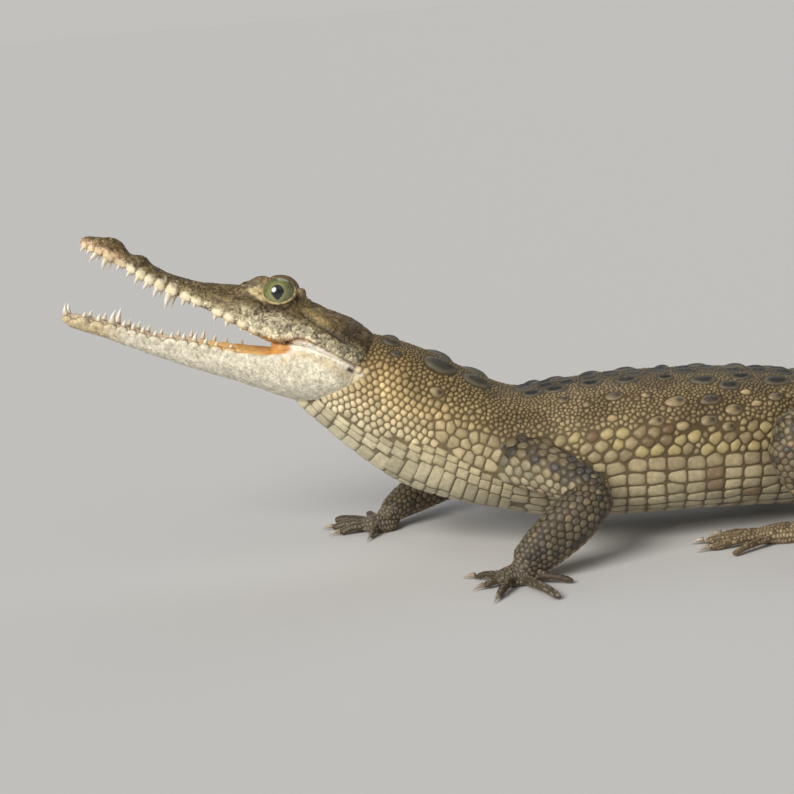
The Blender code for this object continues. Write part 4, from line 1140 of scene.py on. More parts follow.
def flesh_colour(guide, patch, along, share, points, normals):
    """Tint of skin and scales at places on the guide."""
    colour = np.zeros((len(points), 3))
    for index, p in enumerate(guide.patches):
        mine = patch == index
        if not mine.any():
            continue
        there = (points[mine], normals[mine])
        if p.region == "body":
            colour[mine] = trunk_colour(along[mine], share[mine], *there)
        elif p.region == "head":
            colour[mine] = head_colour(*there)
        elif p.region == "jaw":
            colour[mine] = jaw_colour(*there)
        else:
            colour[mine] = limb_colour(p.region, share[mine], *there)
    return colour


def limb_colour(region, share, points, normals):
    base = LIMB_COLOURS[region]
    if "upper_arm" in region:
        base = mix(base, (0.36, 0.32, 0.215), 0.85 * smoothstep(0.30, 0.56, np.abs(share)))
        blot = smoothstep(0.50, 0.58, noise(points * (0.55, 1.0, 1.0), 3.3, 33))
        blot *= fade(0.34, 0.62, np.abs(share))
        base = mix(base, (0.036, 0.038, 0.040), 0.82 * blot)
    dark = smoothstep(0.50, 0.72, noise(points, 7.0, 31))
    base = mix(base, UMBER, 0.35 * dark)
    under = smoothstep(0.35, 0.8, -normals[:, 2])
    return mix(base, (0.42, 0.30, 0.17), 0.45 * under)


def web_share(points, lip):
    """1 on the orange skin at the mouth's corner and, for the jaw, along its lip."""
    local = mirrored(to_head(head_axes(WEB_PITCH), points))
    ahead, _, up = local.T
    band = smoothstep(23.6, 26.8, ahead + 0.55 * up) * fade(35.0, 40.0, ahead)
    top = 0.1132 * ahead - 1.5
    band *= fade(-0.3, 0.5, up - top)
    low = mirrored(to_head(LOWER, points))
    edge = np.interp(low[:, 0], (24.0, 32.7, 40.0, 45.8, 57.4, 62.0),
                     (2.0, -0.2, -1.2, -1.8, -1.6, 0.0))
    strip = smoothstep(-0.7, 0.5, low[:, 2] - edge) * fade(56.0, 64.0, low[:, 0])
    along = smoothstep(30.0, 34.0, low[:, 0]) * lip
    return np.maximum(band, along) * strip


def lining_colour(ahead):
    """Inside of the mouth: orange at the corner, yellower and paler forward."""
    warm = mix(ORANGE, (0.74, 0.49, 0.20), smoothstep(31.0, 42.0, ahead))
    return mix(warm, (0.62, 0.50, 0.36), smoothstep(54.0, 72.0, ahead))


def corner_colour(points, ahead):
    """Lining with the streaks of the stretched skin at the mouth's corner."""
    streak = smoothstep(0.40, 0.65, noise(points * (0.35, 1.0, 1.6), 1.1, 86))
    return mix(lining_colour(ahead), (0.46, 0.18, 0.035), 0.50 * streak)


def eye_looks(points):
    """How far out of the lids' opening, 1 above the eye and 0 below, and 1 off the lids."""
    (left, near), (right, far) = eye_field(points, -1), eye_field(points, 1)
    rel = mirrored(to_head(UPPER, points)) - EYE_AT
    high = smoothstep(1.2, 4.2, rel @ np.array(EYE_UPWARD))
    return np.minimum(left, right), high, smoothstep(7.9, 8.8, np.minimum(near, far))


def skull_colour(points, local, rel, above):
    """Ivory lips and sides, brown roof, reddish tip of the snout, dark specks."""
    ahead = local[:, 0]
    front = smoothstep(44.0, 60.0, ahead)
    top = mix((0.115, 0.078, 0.032), (0.13, 0.090, 0.036), front)
    side = mix((0.50, 0.44, 0.285), (0.32, 0.25, 0.115), front)
    wander = 0.22 * (noise(points, 4.0, 81) - 0.5) + 0.16 * (noise(points, 1.4, 82) - 0.5)
    colour = mix(IVORY, side, smoothstep(0.18, 0.36, rel + wander))
    high = 0.60 - 0.12 * front
    colour = mix(colour, top, smoothstep(-0.12, 0.12, rel + wander - high))
    green = smoothstep(0.55, 0.70, noise(points, 3.6, 84)) * fade(0.5, 0.8, rel)
    colour = mix(colour, (0.36, 0.33, 0.10), 0.30 * green * front)
    tip = smoothstep(98.0, 106.0, ahead)
    colour = mix(colour, (0.67, 0.455, 0.26), tip * fade(0.60, 0.92, rel) * 0.85)
    mound = smoothstep(103.0, 107.0, ahead) * fade(113.0, 117.0, ahead)
    colour = mix(colour, (0.15, 0.09, 0.032), mound * smoothstep(0.40, 0.65, rel))
    _, plain, tall, toothed = upper_lip(ahead)
    ragged = above / tall + 0.5 * (noise(points, 1.2, 85) - 0.5)
    cream = smoothstep(0.15, 0.85, plain) * fade(0.35, 1.25, ragged) * toothed
    colour = mix(colour, (0.86, 0.77, 0.54), 0.85 * cream * (1 - 0.55 * tip))
    lip = smoothstep(16.0, 24.0, ahead) * fade(36.0, 48.0, ahead)
    colour = mix(colour, (0.78, 0.68, 0.47), 0.75 * lip * fade(0.14, 0.34, rel))
    speck = smoothstep(0.52, 0.66, noise(points, 0.9, 7))
    strong = (0.12 + 0.58 * smoothstep(0.12, 0.45, rel)) * (1 - 0.85 * cream) * (1 - 0.4 * tip)
    colour = mix(colour, (0.045, 0.032, 0.016), speck * strong)
    pale = smoothstep(0.60, 0.74, noise(points, 1.0, 17)) * smoothstep(0.4, 0.7, rel)
    colour = mix(colour, (0.34, 0.26, 0.13), 0.5 * pale)
    return colour


def temple_colour(colour, local, plane):
    """Dark temple with the golden ridge over the ear, and the horn."""
    ahead, out, up = local.T
    temple = smoothstep(8.0, 11.5, up + 0.16 * (ahead - 20.0)) * fade(28.0, 33.0, ahead)
    colour = mix(colour, (0.12, 0.078, 0.028), 0.50 * temple)
    ear = bell(line_gap(plane, EAR_LINE), 2.4) * fade(22.0, 29.0, ahead)
    colour = mix(colour, (0.38, 0.275, 0.10), 0.70 * ear * smoothstep(6.0, 12.0, ahead))
    rear = bell(np.hypot(ahead - 7.0, (up - 12.5) * 1.2), 7.0) * smoothstep(8.0, 12.0, out)
    colour = mix(colour, (0.045, 0.028, 0.011), 0.75 * rear)
    horn = bell(np.linalg.norm((local - HORN) * (1.0, 1.0, 0.6), axis=1), 2.9)
    colour = mix(colour, (0.27, 0.20, 0.15), 0.80 * horn * smoothstep(17.0, 19.0, up))
    return colour


def eye_surround(colour, points, local):
    """Yellow lower lid and triangle before the eye, brown upper lid, painted shade along the lids'
    edge above and before the eye.
    """
    ahead, out, up = local.T
    lid, above_eye, off = eye_looks(points)
    near = fade(1.08, 1.38, lid) * (1 - off)
    colour = mix(colour, (0.20, 0.125, 0.050), 0.75 * near * above_eye)
    low_lid = fade(1.05, 1.13, lid) * (1 - above_eye) * (1 - off)
    colour = mix(colour, (0.50, 0.39, 0.18), 0.8 * low_lid)
    patch = smoothstep(-0.3, 0.9, 12.3 + 0.93 * (51.4 - ahead) - up)
    floor = np.interp(ahead, (42.0, 42.9, 47.0, 51.2, 52.5), (9.4, 9.9, 11.0, 11.9, 12.6))
    patch *= smoothstep(-0.2, 0.3, up - floor) * smoothstep(41.0, 43.0, ahead)
    patch *= fade(51.0, 52.4, ahead) * smoothstep(0.8, 2.2, out)
    patch *= np.maximum(smoothstep(1.03, 1.10, lid), off)
    colour = mix(colour, (0.60, 0.49, 0.24), 0.9 * patch)
    # painted shade where the upper lid and the front corner meet the eye
    colour = mix(colour, (0.045, 0.030, 0.012), 0.85 * bell(lid - 1.03, 0.028)
                 * (1 - off) * np.clip(above_eye + 1.2 * smoothstep(43.0, 45.5, ahead), 0, 1))
    return colour


def head_colour(points, normals):
    local, facing, row, rel = seen(points, normals, UPPER, HEAD_STATIONS)
    ahead, out, up = local.T
    plane = np.column_stack([ahead, up])
    colour = skull_colour(points, local, rel, up - row[:, 4])
    colour = eye_surround(temple_colour(colour, local, plane), points, local)
    flank = flank_of(out)
    peach = bell(line_gap(plane, PEACH_LINE), 1.6) * flank
    colour = mix(colour, (0.68, 0.45, 0.25), 0.75 * peach)
    # painted shadow of the upper lip's edge along the crease over the fold
    bare = smoothstep(10.0, 22.0, ahead)
    crease_shadow = bell(line_gap(plane, CREASE_LINE), 0.55 + 0.45 * bare) * flank
    colour = mix(colour, (0.34, 0.185, 0.080), (0.35 + 0.50 * bare) * crease_shadow)
    colour = over_fold(colour, (0.86, 0.81, 0.71), plane, flank)
    inside = smoothstep(0.45, 0.80, -facing[:, 2]) * fade(0.02, 0.12, rel)
    inside *= smoothstep(24.0, 27.5, ahead)
    colour = mix(colour, lining_colour(ahead + 6.0), inside)
    return mix(colour, corner_colour(points, ahead), 0.92 * web_share(points, 0.0))


def jaw_colour(points, normals):
    local, facing, row, rel = seen(points, normals, LOWER, JAW_STATIONS)
    ahead, out, up = local.T
    colour = mix(PALE, (0.62, 0.50, 0.30), smoothstep(90.0, 108.0, ahead))
    wander = noise(points, 4.5, 83)
    grey = smoothstep(0.35, 0.75, rel + 0.5 * (wander - 0.5)) * fade(60.0, 90.0, ahead)
    colour = mix(colour, (0.54, 0.51, 0.39), 0.45 * grey)
    cheek = bell(np.hypot((ahead - 6.0) / 1.3, up + 4.0), 9.0)
    colour = mix(colour, (0.78, 0.75, 0.58), 0.6 * cheek)
    speck = smoothstep(0.56, 0.68, noise(points, 0.75, 9))
    colour = mix(colour, (0.28, 0.25, 0.175), 0.40 * speck)
    _, _, plain, depth, toothed = scallops(ahead, up, row)
    # painted shade in the hollows between the lip's swellings, just under its edge
    gum = bell(depth - 0.4, 1.3) * toothed * (1 - plain)
    colour = mix(colour, (0.22, 0.175, 0.10), 0.6 * gum)
    rim = bell(depth, 0.5) * toothed
    colour = mix(colour, (0.78, 0.62, 0.46), 0.6 * rim)
    plane = mirrored(to_head(UPPER, points))[:, [0, 2]]
    flank = flank_of(out)
    colour = over_fold(colour, (0.84, 0.79, 0.69), plane, flank)
    warm = bell(line_gap(plane + (0.0, 3.4), FOLD_LINE), 1.8) * flank
    colour = mix(colour, (0.66, 0.50, 0.28), 0.5 * warm)
    inside = smoothstep(0.55, 0.85, facing[:, 2]) * smoothstep(22.0, 28.0, ahead)
    turned = to_head(LOWER, points)[:, 1]
    inward = smoothstep(0.2, 0.5, -facing[:, 1] * np.sign(turned))
    inward *= fade(0.90, 1.0, out / np.maximum(row[:, 1], 1.0))
    inside = np.maximum(inside, inward * smoothstep(-1.0, 0.5, up - row[:, 2] + 4.0))
    colour = mix(colour, lining_colour(ahead), inside)
    return mix(colour, corner_colour(points, ahead), 0.92 * web_share(points, 1.0))


# ------------------------------------------------------------------ export map
CHART_EDGE = 0.006              # free border of the map
HEAD_TEXEL, BODY_TEXEL = 1 / 315.0, 1 / 615.0      # map width for each mm of skin


class Chart:
    """Even unwrap of every patch side by side; the head and jaw get more of the room."""

    def __init__(self, patches):
        x, y, row = CHART_EDGE, CHART_EDGE, 0.0
        self.rects, self.patches = [None] * len(patches), patches
        for k in sorted(range(len(patches)), key=lambda k: -patches[k].half.max()):
            p = patches[k]
            size = HEAD_TEXEL if p.region in ("head", "jaw") else BODY_TEXEL
            wide = (p.along[-1] - p.along[0] + 4) * size
            if x + wide > 0.996:
                x, y, row = CHART_EDGE, y + row, 0.0
            self.rects[k] = (x, y, size)
            x += wide
            row = max(row, (2 * p.half.max() + 4) * size)

    def uv(self, patch, along, share):
        out = np.zeros((len(patch), 2))
        for k, p in enumerate(self.patches):
            mine = patch == k
            x, y, size = self.rects[k]
            out[mine, 0] = x + (along[mine] - p.along[0] + 2) * size
            out[mine, 1] = y + (p.half.max() + share[mine] * p.girth(along[mine]) + 2) * size
        return out

    def scale(self, patch):
        return np.array([r[2] for r in self.rects])[patch]


def add_uv(mesh, uv):
    """Export map from a place for every corner."""
    layer = mesh.uv_layers.new(name="OFBake")
    layer.data.foreach_set("uv", uv.astype(np.float32).ravel())


def corners_of(mesh):
    """Vertex of every corner."""
    return fetched(mesh.loops, "vertex_index")


def add_tint(mesh, colours):
    layer = mesh.attributes.new("tint", "FLOAT_COLOR", "POINT")
    full = np.column_stack([np.clip(colours, 0, 1), np.ones(len(colours))])
    layer.data.foreach_set("color", full.astype(np.float32).ravel())


def unwrap_skin(mesh, points, guide, chart, place):
    """Each face lies where its middle is on the chart; corners keep their own place near it."""
    patch, along, share = place[:3]
    middle = vectors(mesh.polygons, "center") / MM + SHIFT
    face_patch, face_along, face_share, ahead, round_, _ = guide.locate(middle)
    corner = corners_of(mesh)
    face = np.repeat(np.arange(len(middle)), fetched(mesh.polygons, "loop_total"))
    size = chart.scale(face_patch)[face]
    off = points[corner] - middle[face]
    uv = chart.uv(face_patch, face_along, face_share)[face] + np.column_stack(
        [dot(off, ahead[face]) * size, dot(off, round_[face]) * size])
    own = chart.uv(patch, along, share)[corner]
    same = (patch[corner] == face_patch[face]) & (np.linalg.norm(own - uv, axis=1) < 0.004)
    add_uv(mesh, np.where(same[:, None], own, uv))


# ------------------------------------------------------------------ scales
BODY = 0                        # the neck, trunk and tail among the patches
LARGE_SCALE = 2.3               # mm, half length from which a scale counts as large
LEAST_ROOM = 0.12               # mm that a scale keeps towards each neighbour
CORNER_POWER = 16.0             # how sharply an outline turns between two neighbours
FOOT_DEPTH = 0.22               # mm by which the outer ring of a scale lies in the skin
MAP_HALF = 0.0014               # half a scale's width on the export map


class Scales:
    """Seeds of scales: one row each of place, directions, half sizes and looks."""

    FIELDS = ("centre", "normal", "axis", "long", "wide", "power", "height", "dome", "keel",
              "swell", "tint", "spot", "rim", "uv", "rank")

    def __init__(self):
        self.rows = {f: [] for f in self.FIELDS}
        self.kinds = []

    def add(self, kind, **values):
        for f in self.FIELDS:
            self.rows[f].append(values[f])
        self.kinds += [kind] * len(values["centre"])

    def so_far(self, field):
        return np.concatenate(self.rows[field])

    def close(self):
        """Ends the adding: each field becomes one array."""
        for f in self.FIELDS:
            setattr(self, f, self.so_far(f))
        self.kinds = np.array(self.kinds)

    def keep(self, mask):
        for f in (*self.FIELDS, "kinds"):
            setattr(self, f, getattr(self, f)[mask])


def reach_of(long, wide, power, angle):
    """Radius of a superellipse at an angle from its long axis."""
    c, s = np.abs(np.cos(angle)) / long, np.abs(np.sin(angle)) / wide
    return (c ** power + s ** power + 1e-12) ** (-1 / power)


def scale_faces(many, sides, rings):
    """Sides, pointed top and flat bottom of many scales alike."""
    step, last = sides * rings + 1, (rings - 1) * sides
    base = (np.arange(many) * step)[:, None]
    k = np.arange(sides)
    top = np.stack([last + k, last + (k + 1) % sides, np.full(sides, step - 1)], 1)
    return [(base[:, :, None] + ring_faces(rings, sides)[None]).reshape(-1, 4),
            (base[:, :, None] + top[None]).reshape(-1, 3),
            (base + k[::-1][None]).reshape(many, sides)]


class Coat:
    """Lays scales on the skin and turns them into joined meshes."""

    def __init__(self, skin, guide, chart):
        points = read_points(skin.data)
        faces = [tuple(p.vertices) for p in skin.data.polygons]
        self.tree = BVHTree.FromPolygons(points.tolist(), faces)
        self.normals = normals_of(points, skin.data)
        self.corner = [f[0] for f in faces]
        self.guide, self.chart = guide, chart
        self.scales = Scales()

    def on_skin(self, points):
        """Nearest place, its normal, and how far it was."""
        hits = [self.tree.find_nearest(p) for p in points.tolist()]
        spot = np.array([h[0][:] for h in hits])
        flat = np.array([h[1][:] for h in hits])
        soft = self.normals[[self.corner[h[2]] for h in hits]]
        return spot, unit(flat + soft), np.array([h[3] for h in hits])

    def bed(self, kind, index, s, share, long, wide, power, height, dome, rank, reach, seed,
            swell, keel=0.0, tilt=0.0, tone=1.0, spot=0.0, colour=None, palette=(), rim=0.0):
        """Scales of one kind at places on a patch; those that lie in another member go."""
        patch = self.guide.patches[index]
        s, share = np.asarray(s, float), np.asarray(share, float)
        share = (share + 1) % 2 - 1
        start = patch.at(s, share)
        centre, normal, gap = self.on_skin(start)
        way = patch.way(s, share)
        axis = unit(way - dot(way, normal)[:, None] * normal)
        tilt = np.radians(tilt) * np.sign(share + 1e-9)
        across = np.cross(normal, axis)
        axis = unit(np.cos(tilt)[:, None] * axis + np.sin(tilt)[:, None] * across)
        ok = (gap < reach) & (self.guide.locate(centre)[0] == index)
        many = len(s)
        if kind in ("plates", "limbs"):
            size = np.broadcast_to(np.maximum(long, wide), (many,))
            ok &= self.stand_off(centre, normal, axis, long, wide) < 0.20 * size + 0.22
        key = np.floor(centre * 50).astype(np.int64) + 100000
        luck, draw = hashed(key, seed), hashed(key, seed + 40)
        member = np.full(many, index)
        tint = (flesh_colour(self.guide, member, s, share, centre, normal)
                if colour is None else np.broadcast_to(np.asarray(colour, float), (many, 3)))
        tint = tint * (tone * (0.82 + 0.36 * luck))[:, None]
        last = 0.0
        for upto, odd in palette:
            mine = (draw >= last) & (draw < upto)
            tint[mine] = 0.35 * tint[mine] + 0.65 * np.array(odd)
            last = upto
        uv = self.chart.uv(member, s, share)
        full = {"long": long, "wide": wide, "power": power, "height": height, "dome": dome,
                "keel": keel, "swell": swell, "spot": spot, "rim": rim, "rank": rank}
        full = {k: np.broadcast_to(np.asarray(v, float), (many,))[ok] for k, v in full.items()}
        self.scales.add(kind, centre=centre[ok], normal=normal[ok], axis=axis[ok],
                        tint=tint[ok], uv=uv[ok], **full)

    def stand_off(self, centre, normal, axis, long, wide):
        """How far the rim of each flat scale would be from the skin."""
        across = np.cross(normal, axis)
        worst = np.zeros(len(centre))
        for way, size in ((axis, long), (-axis, long), (across, wide), (-across, wide)):
            rim = centre + 0.9 * way * np.broadcast_to(size, (len(centre),))[:, None]
            worst = np.maximum(worst, self.on_skin(rim)[2])
        return worst

    def thin(self):
        """Where scales of different rank crowd, the lower-ranked one goes."""
        sc = self.scales
        keep = np.ones(len(sc.rank), bool)
        done = []
        for rank in sorted(set(sc.rank), reverse=True):
            mine = np.flatnonzero(sc.rank == rank)
            if done:
                held = np.concatenate(done)
                tree = kd_tree(sc.centre[held])
                biggest = sc.long[held].max()
                for i in mine:
                    reach = sc.long[i] + biggest
                    near = tree.find_range(sc.centre[i].tolist(), reach)
                    keep[i] = not any(self.crowds(i, held[k], d) for _, k, d in near)
            done.append(mine[keep[mine]])
        sc.keep(keep)

    def crowds(self, i, j, apart):
        """Whether scale i lies too deep in scale j."""
        way = self.scales.centre[i] - self.scales.centre[j]
        return apart < 0.80 * (self.radius(j, way) + self.radius(i, -way))

    def radius(self, i, way):
        sc = self.scales
        across = np.cross(sc.normal[i], sc.axis[i])
        angle = math.atan2(float(way @ across), float(way @ sc.axis[i]))
        return float(reach_of(sc.long[i], sc.wide[i], sc.power[i], angle))

    def outlines(self, sides, gap, near=12):
        """Radius of every scale at each of the sides' angles, cut by its neighbours."""
        sc = self.scales
        many = len(sc.centre)
        tree = kd_tree(sc.centre)
        found = np.array([[k for _, k, _ in tree.find_n(c, near + 1)][1:]
                          for c in sc.centre.tolist()])
        large = np.flatnonzero(sc.long > LARGE_SCALE)
        tree = kd_tree(sc.centre[large])
        more = np.array([[large[k] for _, k, _ in tree.find_n(c, 4)] for c in sc.centre.tolist()])
        more = np.where(more == np.arange(many)[:, None], found[:, :1], more)
        found = np.concatenate([found, more], 1)
        across = np.cross(sc.normal, sc.axis)
        rel = sc.centre[found] - sc.centre[:, None]
        x, y = dot(rel, sc.axis[:, None]), dot(rel, across[:, None])
        dist, phi = np.hypot(x, y), np.arctan2(y, x)
        own = reach_of(sc.long[:, None], sc.wide[:, None], sc.power[:, None], phi)
        back = np.arctan2(dot(-rel, across[found]), dot(-rel, sc.axis[found]))
        other = reach_of(sc.long[found], sc.wide[found], sc.power[found], back)
        limit = np.maximum(dist * own / (own + other) - gap / 2, LEAST_ROOM)
        angle = np.linspace(0, 2 * math.pi, sides, endpoint=False)
        facing = np.cos(angle[None, None, :] - phi[:, :, None])
        cut = np.where(facing > 0.08, limit[:, :, None] / np.maximum(facing, 0.08), 1e3)
        base = reach_of(sc.long[:, None], sc.wide[:, None], sc.power[:, None], angle[None, :])
        base = base * sc.swell[:, None]
        total = base ** -CORNER_POWER + np.sum(cut ** -CORNER_POWER, axis=1)
        return angle, total ** (-1 / CORNER_POWER)

    def own_outlines(self, sides, gap):
        """Radius of every scale at each of the sides' angles, whatever lies beside it."""
        sc = self.scales
        angle = np.arange(sides) * 2 * math.pi / sides
        return angle, reach_of(sc.long[:, None] - gap, sc.wide[:, None] - gap,
                               sc.power[:, None], angle)

    def build(self, name, mask, angle, radius, rings, drape):
        """Joined mesh of the scales in mask."""
        sc = self.scales
        pick = np.flatnonzero(mask)
        many, sides = len(pick), len(angle)
        r = radius[pick]
        across = np.cross(sc.normal[pick], sc.axis[pick])
        rho = np.array(rings)
        x = rho[None, :, None] * r[:, None, :] * np.cos(angle)
        y = rho[None, :, None] * r[:, None, :] * np.sin(angle)
        x = np.concatenate([x.reshape(many, -1), np.zeros((many, 1))], 1)
        y = np.concatenate([y.reshape(many, -1), np.zeros((many, 1))], 1)
        level = np.concatenate([np.repeat(rho, sides), [0.0]])[None, :]
        height = sc.height[pick, None] * (1 - level ** sc.dome[pick, None])
        wide, long = sc.wide[pick, None], sc.long[pick, None]
        ridge = bell(y, 0.20 * wide + 0.12) * (1 - level ** 2) * (0.75 + 0.35 * x / long)
        height = height + sc.keel[pick, None] * ridge
        height = np.where(level >= 0.999, -FOOT_DEPTH, height)
        point = (sc.centre[pick, None] + x[..., None] * sc.axis[pick, None]
                 + y[..., None] * across[:, None])
        normal = np.broadcast_to(sc.normal[pick, None], point.shape)
        if drape:
            spot, soft, _ = self.on_skin(point.reshape(-1, 3))
            point = spot.reshape(point.shape)
            normal = unit(soft.reshape(point.shape) + 1.5 * normal)
        point = (point + height[..., None] * normal).reshape(-1, 3)
        point[:, 2] = np.maximum(point[:, 2], 0.0)
        obj = new_mesh(name, point, scale_faces(many, sides, len(rho)))
        add_tint(obj.data, self.tints(pick, x, y, level))
        uv = np.stack([sc.uv[pick, None, 0] + MAP_HALF * x / long,
                       sc.uv[pick, None, 1] + MAP_HALF * y / wide], -1).reshape(-1, 2)
        add_uv(obj.data, uv[corners_of(obj.data)])
        return obj

    def tints(self, pick, x, y, level):
        """Colour of the scales, with painted shading lighter in the middle and darker at the edge,
        and their own dark spots and pale rims.
        """
        sc = self.scales
        wide, long = sc.wide[pick, None], sc.long[pick, None]
        # painted shading: lighter in the middle of each scale, darker towards its edge
        shade = 0.98 - 0.34 * np.clip(level, 0, 1) ** 8 + 0.14 * (1 - level)
        tint = sc.tint[pick][:, None] * np.broadcast_to(shade, x.shape)[..., None]
        spot = sc.spot[pick, None] * bell(np.hypot((x - 0.30 * long) * 0.8, y), 0.62 * wide)
        tint = mix(tint, (0.028, 0.024, 0.020), np.clip(spot, 0, 1))
        edge = sc.rim[pick, None] * bell(level - 0.86, 0.10)
        tint = mix(tint, (0.34, 0.28, 0.17), np.broadcast_to(edge, x.shape))
        return tint.reshape(-1, 3)


def lattice(first, last, pitch, share_from, share_to, pitch_share, wander, seed, stagger=0.5):
    """Rows along by columns round, on both sides, every second row moved by the stagger."""
    rows = np.arange(first, last, pitch)
    cols = np.arange(share_from, share_to, pitch_share)
    r, c = grid_of(len(rows), len(cols))
    s = rows[r] + pitch * stagger * (c % 2)
    share = cols[c]
    s, share = s.ravel(), share.ravel()
    key = np.stack([r.ravel(), c.ravel(), np.full(r.size, seed)], 1)
    out_s, out_f = [], []
    for side in (-1, 1):
        key[:, 2] = seed * 10 + side + 2
        out_s.append(s + wander * pitch * (hashed(key, 1) - 0.5))
        out_f.append(side * (share + wander * pitch_share * (hashed(key, 2) - 0.5)))
    return np.concatenate(out_s), np.concatenate(out_f)


def spread(coat, s, share):
    """Millimetres of skin for each millimetre along the body's own length."""
    patch = coat.guide.patches[BODY]
    return np.linalg.norm(patch.at(s + 0.6, share) - patch.at(s - 0.6, share), axis=1) / 1.2


def band_edge(s):
    """Share of the way round at which the throat's bands begin."""
    return np.interp(s, (-20.0, -4.0, 0.0, 16.0, 45.0), (0.70, 0.665, 0.635, 0.53, 0.60))


def lay_neck(coat):
    """Bands of the throat, beads above them, cream plates over the shoulder."""
    girth = coat.guide.patches[BODY].girth
    rows = np.arange(-27.1, 44.0, 4.05)
    for k, at in enumerate(rows):
        start = float(band_edge(at))
        edges = [start, start + 0.035, start + 0.090, start + 0.235 + 0.03 * (k % 2)]
        while edges[-1] < 0.86:
            edges.append(edges[-1] + 0.19)
        edges[-1] = 1.0
        edges = np.array(edges)
        share = (edges[1:] + edges[:-1]) / 2
        half = (edges[1:] - edges[:-1]) / 2 * float(girth(at))
        luck = hashed(np.stack([np.full(len(share), k), np.arange(len(share)),
                                np.zeros(len(share))], 1), 51) - 0.5
        s = at + luck * 0.3
        for side in (-1, 1):
            long = 2.01 * spread(coat, s, side * share)
            coat.bed("bands", BODY, s, side * share, long, half + 0.04, power=10.0, height=0.42,
                     dome=7.0, rank=6.2, reach=2.6, seed=4, swell=1.0, tone=1.3)
    s, f = lattice(-22.0, 32.0, 2.2, 0.28, 0.70, 0.0350, wander=0.30, seed=4)
    keep = (s > jaw_edge(f)) & (np.abs(f) < band_edge(s) + 0.012) & (np.abs(f) > 0.28 + 0.004 * s)
    keep &= ~((s > 15.0) & (np.abs(f) > 0.44))
    s, f = s[keep], f[keep]
    coat.bed("beads", BODY, s, f, 1.62 * spread(coat, s, f) * 0.90, 1.55, power=3.2,
             height=0.62, dome=3.4, rank=3.0, reach=4.0, seed=5, tone=1.35, swell=1.5)
    s, f = lattice(15.0, 64.0, 3.9, 0.425, 0.61, 0.050, wander=0.42, seed=14)
    keep = np.abs(f) < band_edge(s) + 0.03
    s, f = s[keep], f[keep]
    coat.bed("plates", BODY, s, f, 2.5 * spread(coat, s, f), 2.4, power=2.8, height=0.50,
             dome=4.0, rank=5.5, reach=2.0, seed=25, tone=1.2, swell=1.5,
             palette=((0.08, (0.36, 0.31, 0.24)),))


def lay_body_scales(coat):
    """Belly and lower flank rectangles with the ovals above them."""
    s, f = lattice(46.0, 206.0, 7.6, 0.515, 1.0, 0.0530, stagger=0.0, wander=0.22, seed=1)
    coat.bed("plates", BODY, s, f, 3.9, 2.7, power=8.0, height=0.42, dome=6.5, rank=6.0,
             tilt=-8.0, reach=2.0, seed=2, swell=1.13, tone=1.35,
             palette=((0.07, (0.15, 0.080, 0.045)),))
    s, f = lattice(62.0, 200.0, 6.3, 0.385, 0.50, 0.038, wander=0.34, seed=2)
    coat.bed("plates", BODY, s, f, 3.5, 2.1, power=2.3, height=0.70, dome=3.2, rank=5.0,
             tilt=-32.0, reach=2.0, seed=3, swell=1.14, tone=1.12,
             palette=((0.10, (0.11, 0.060, 0.030)), (0.40, (0.42, 0.34, 0.15))))


def lay_tail_scales(coat):
    """Whorls of oblong scales round the tail."""
    for first, last, pitch, start in ((209.0, 300.0, 8.6, 0.10), (300.0, 400.0, 8.2, 0.12),
                                      (400.0, 558.0, 7.4, 0.14)):
        girth = float(coat.guide.patches[BODY].girth((first + last) / 2))
        step = min(0.16, 3.9 / girth)
        s, f = lattice(first, last, pitch, start, 1.0, step, stagger=0.0, wander=0.06, seed=6)
        coat.bed("plates", BODY, s, f, pitch * 0.50, step * girth * 0.50, power=5.0,
                 height=0.42, dome=5.0, rank=4.0, reach=1.4, seed=7, swell=1.15)


DARK_SCALE, PALE_SCALE = (0.032, 0.034, 0.036), (0.27, 0.21, 0.11)
# scales of the limbs: half length, half width, height, and odd colours up to a share of them
LIMB_SCALES = {
    "upper_arm": (2.6, 2.1, 0.36, ((0.08, DARK_SCALE), (0.20, PALE_SCALE))),
    "forearm": (1.85, 1.45, 0.30, ((0.14, DARK_SCALE), (0.26, (0.20, 0.155, 0.090)))),
    "thigh": (2.1, 1.7, 0.42, ((0.20, DARK_SCALE), (0.36, PALE_SCALE))),
    "shank": (1.7, 1.4, 0.38, ((0.16, DARK_SCALE), (0.28, PALE_SCALE))),
    "hand": (0.85, 1.30, 0.20, ((0.06, DARK_SCALE),)),
    "foot": (0.80, 1.1, 0.20, ((0.10, DARK_SCALE),)),
}


def lay_limb_scales(coat):
    """Scales of the arms and legs, each region with its own size and mottling."""
    for index, patch in enumerate(coat.guide.patches):
        if patch.region in ("body", "head", "jaw"):
            continue
        part = patch.region.split("_", 1)[1]
        long, wide, height, palette = LIMB_SCALES[part]
        step = 1.66 * wide / float(np.median(patch.half))
        s, f = lattice(patch.along[0], patch.along[-1], long * 1.66, 0.02, 1.0, step,
                       wander=0.36, seed=index)
        coat.bed("limbs", index, s, f, long, wide, power=2.8, height=height, dome=3.6, rank=1.5,
                 swell=1.5, reach=0.7 if part in ("hand", "foot") else 1.5, seed=8, tone=1.08,
                 palette=palette)


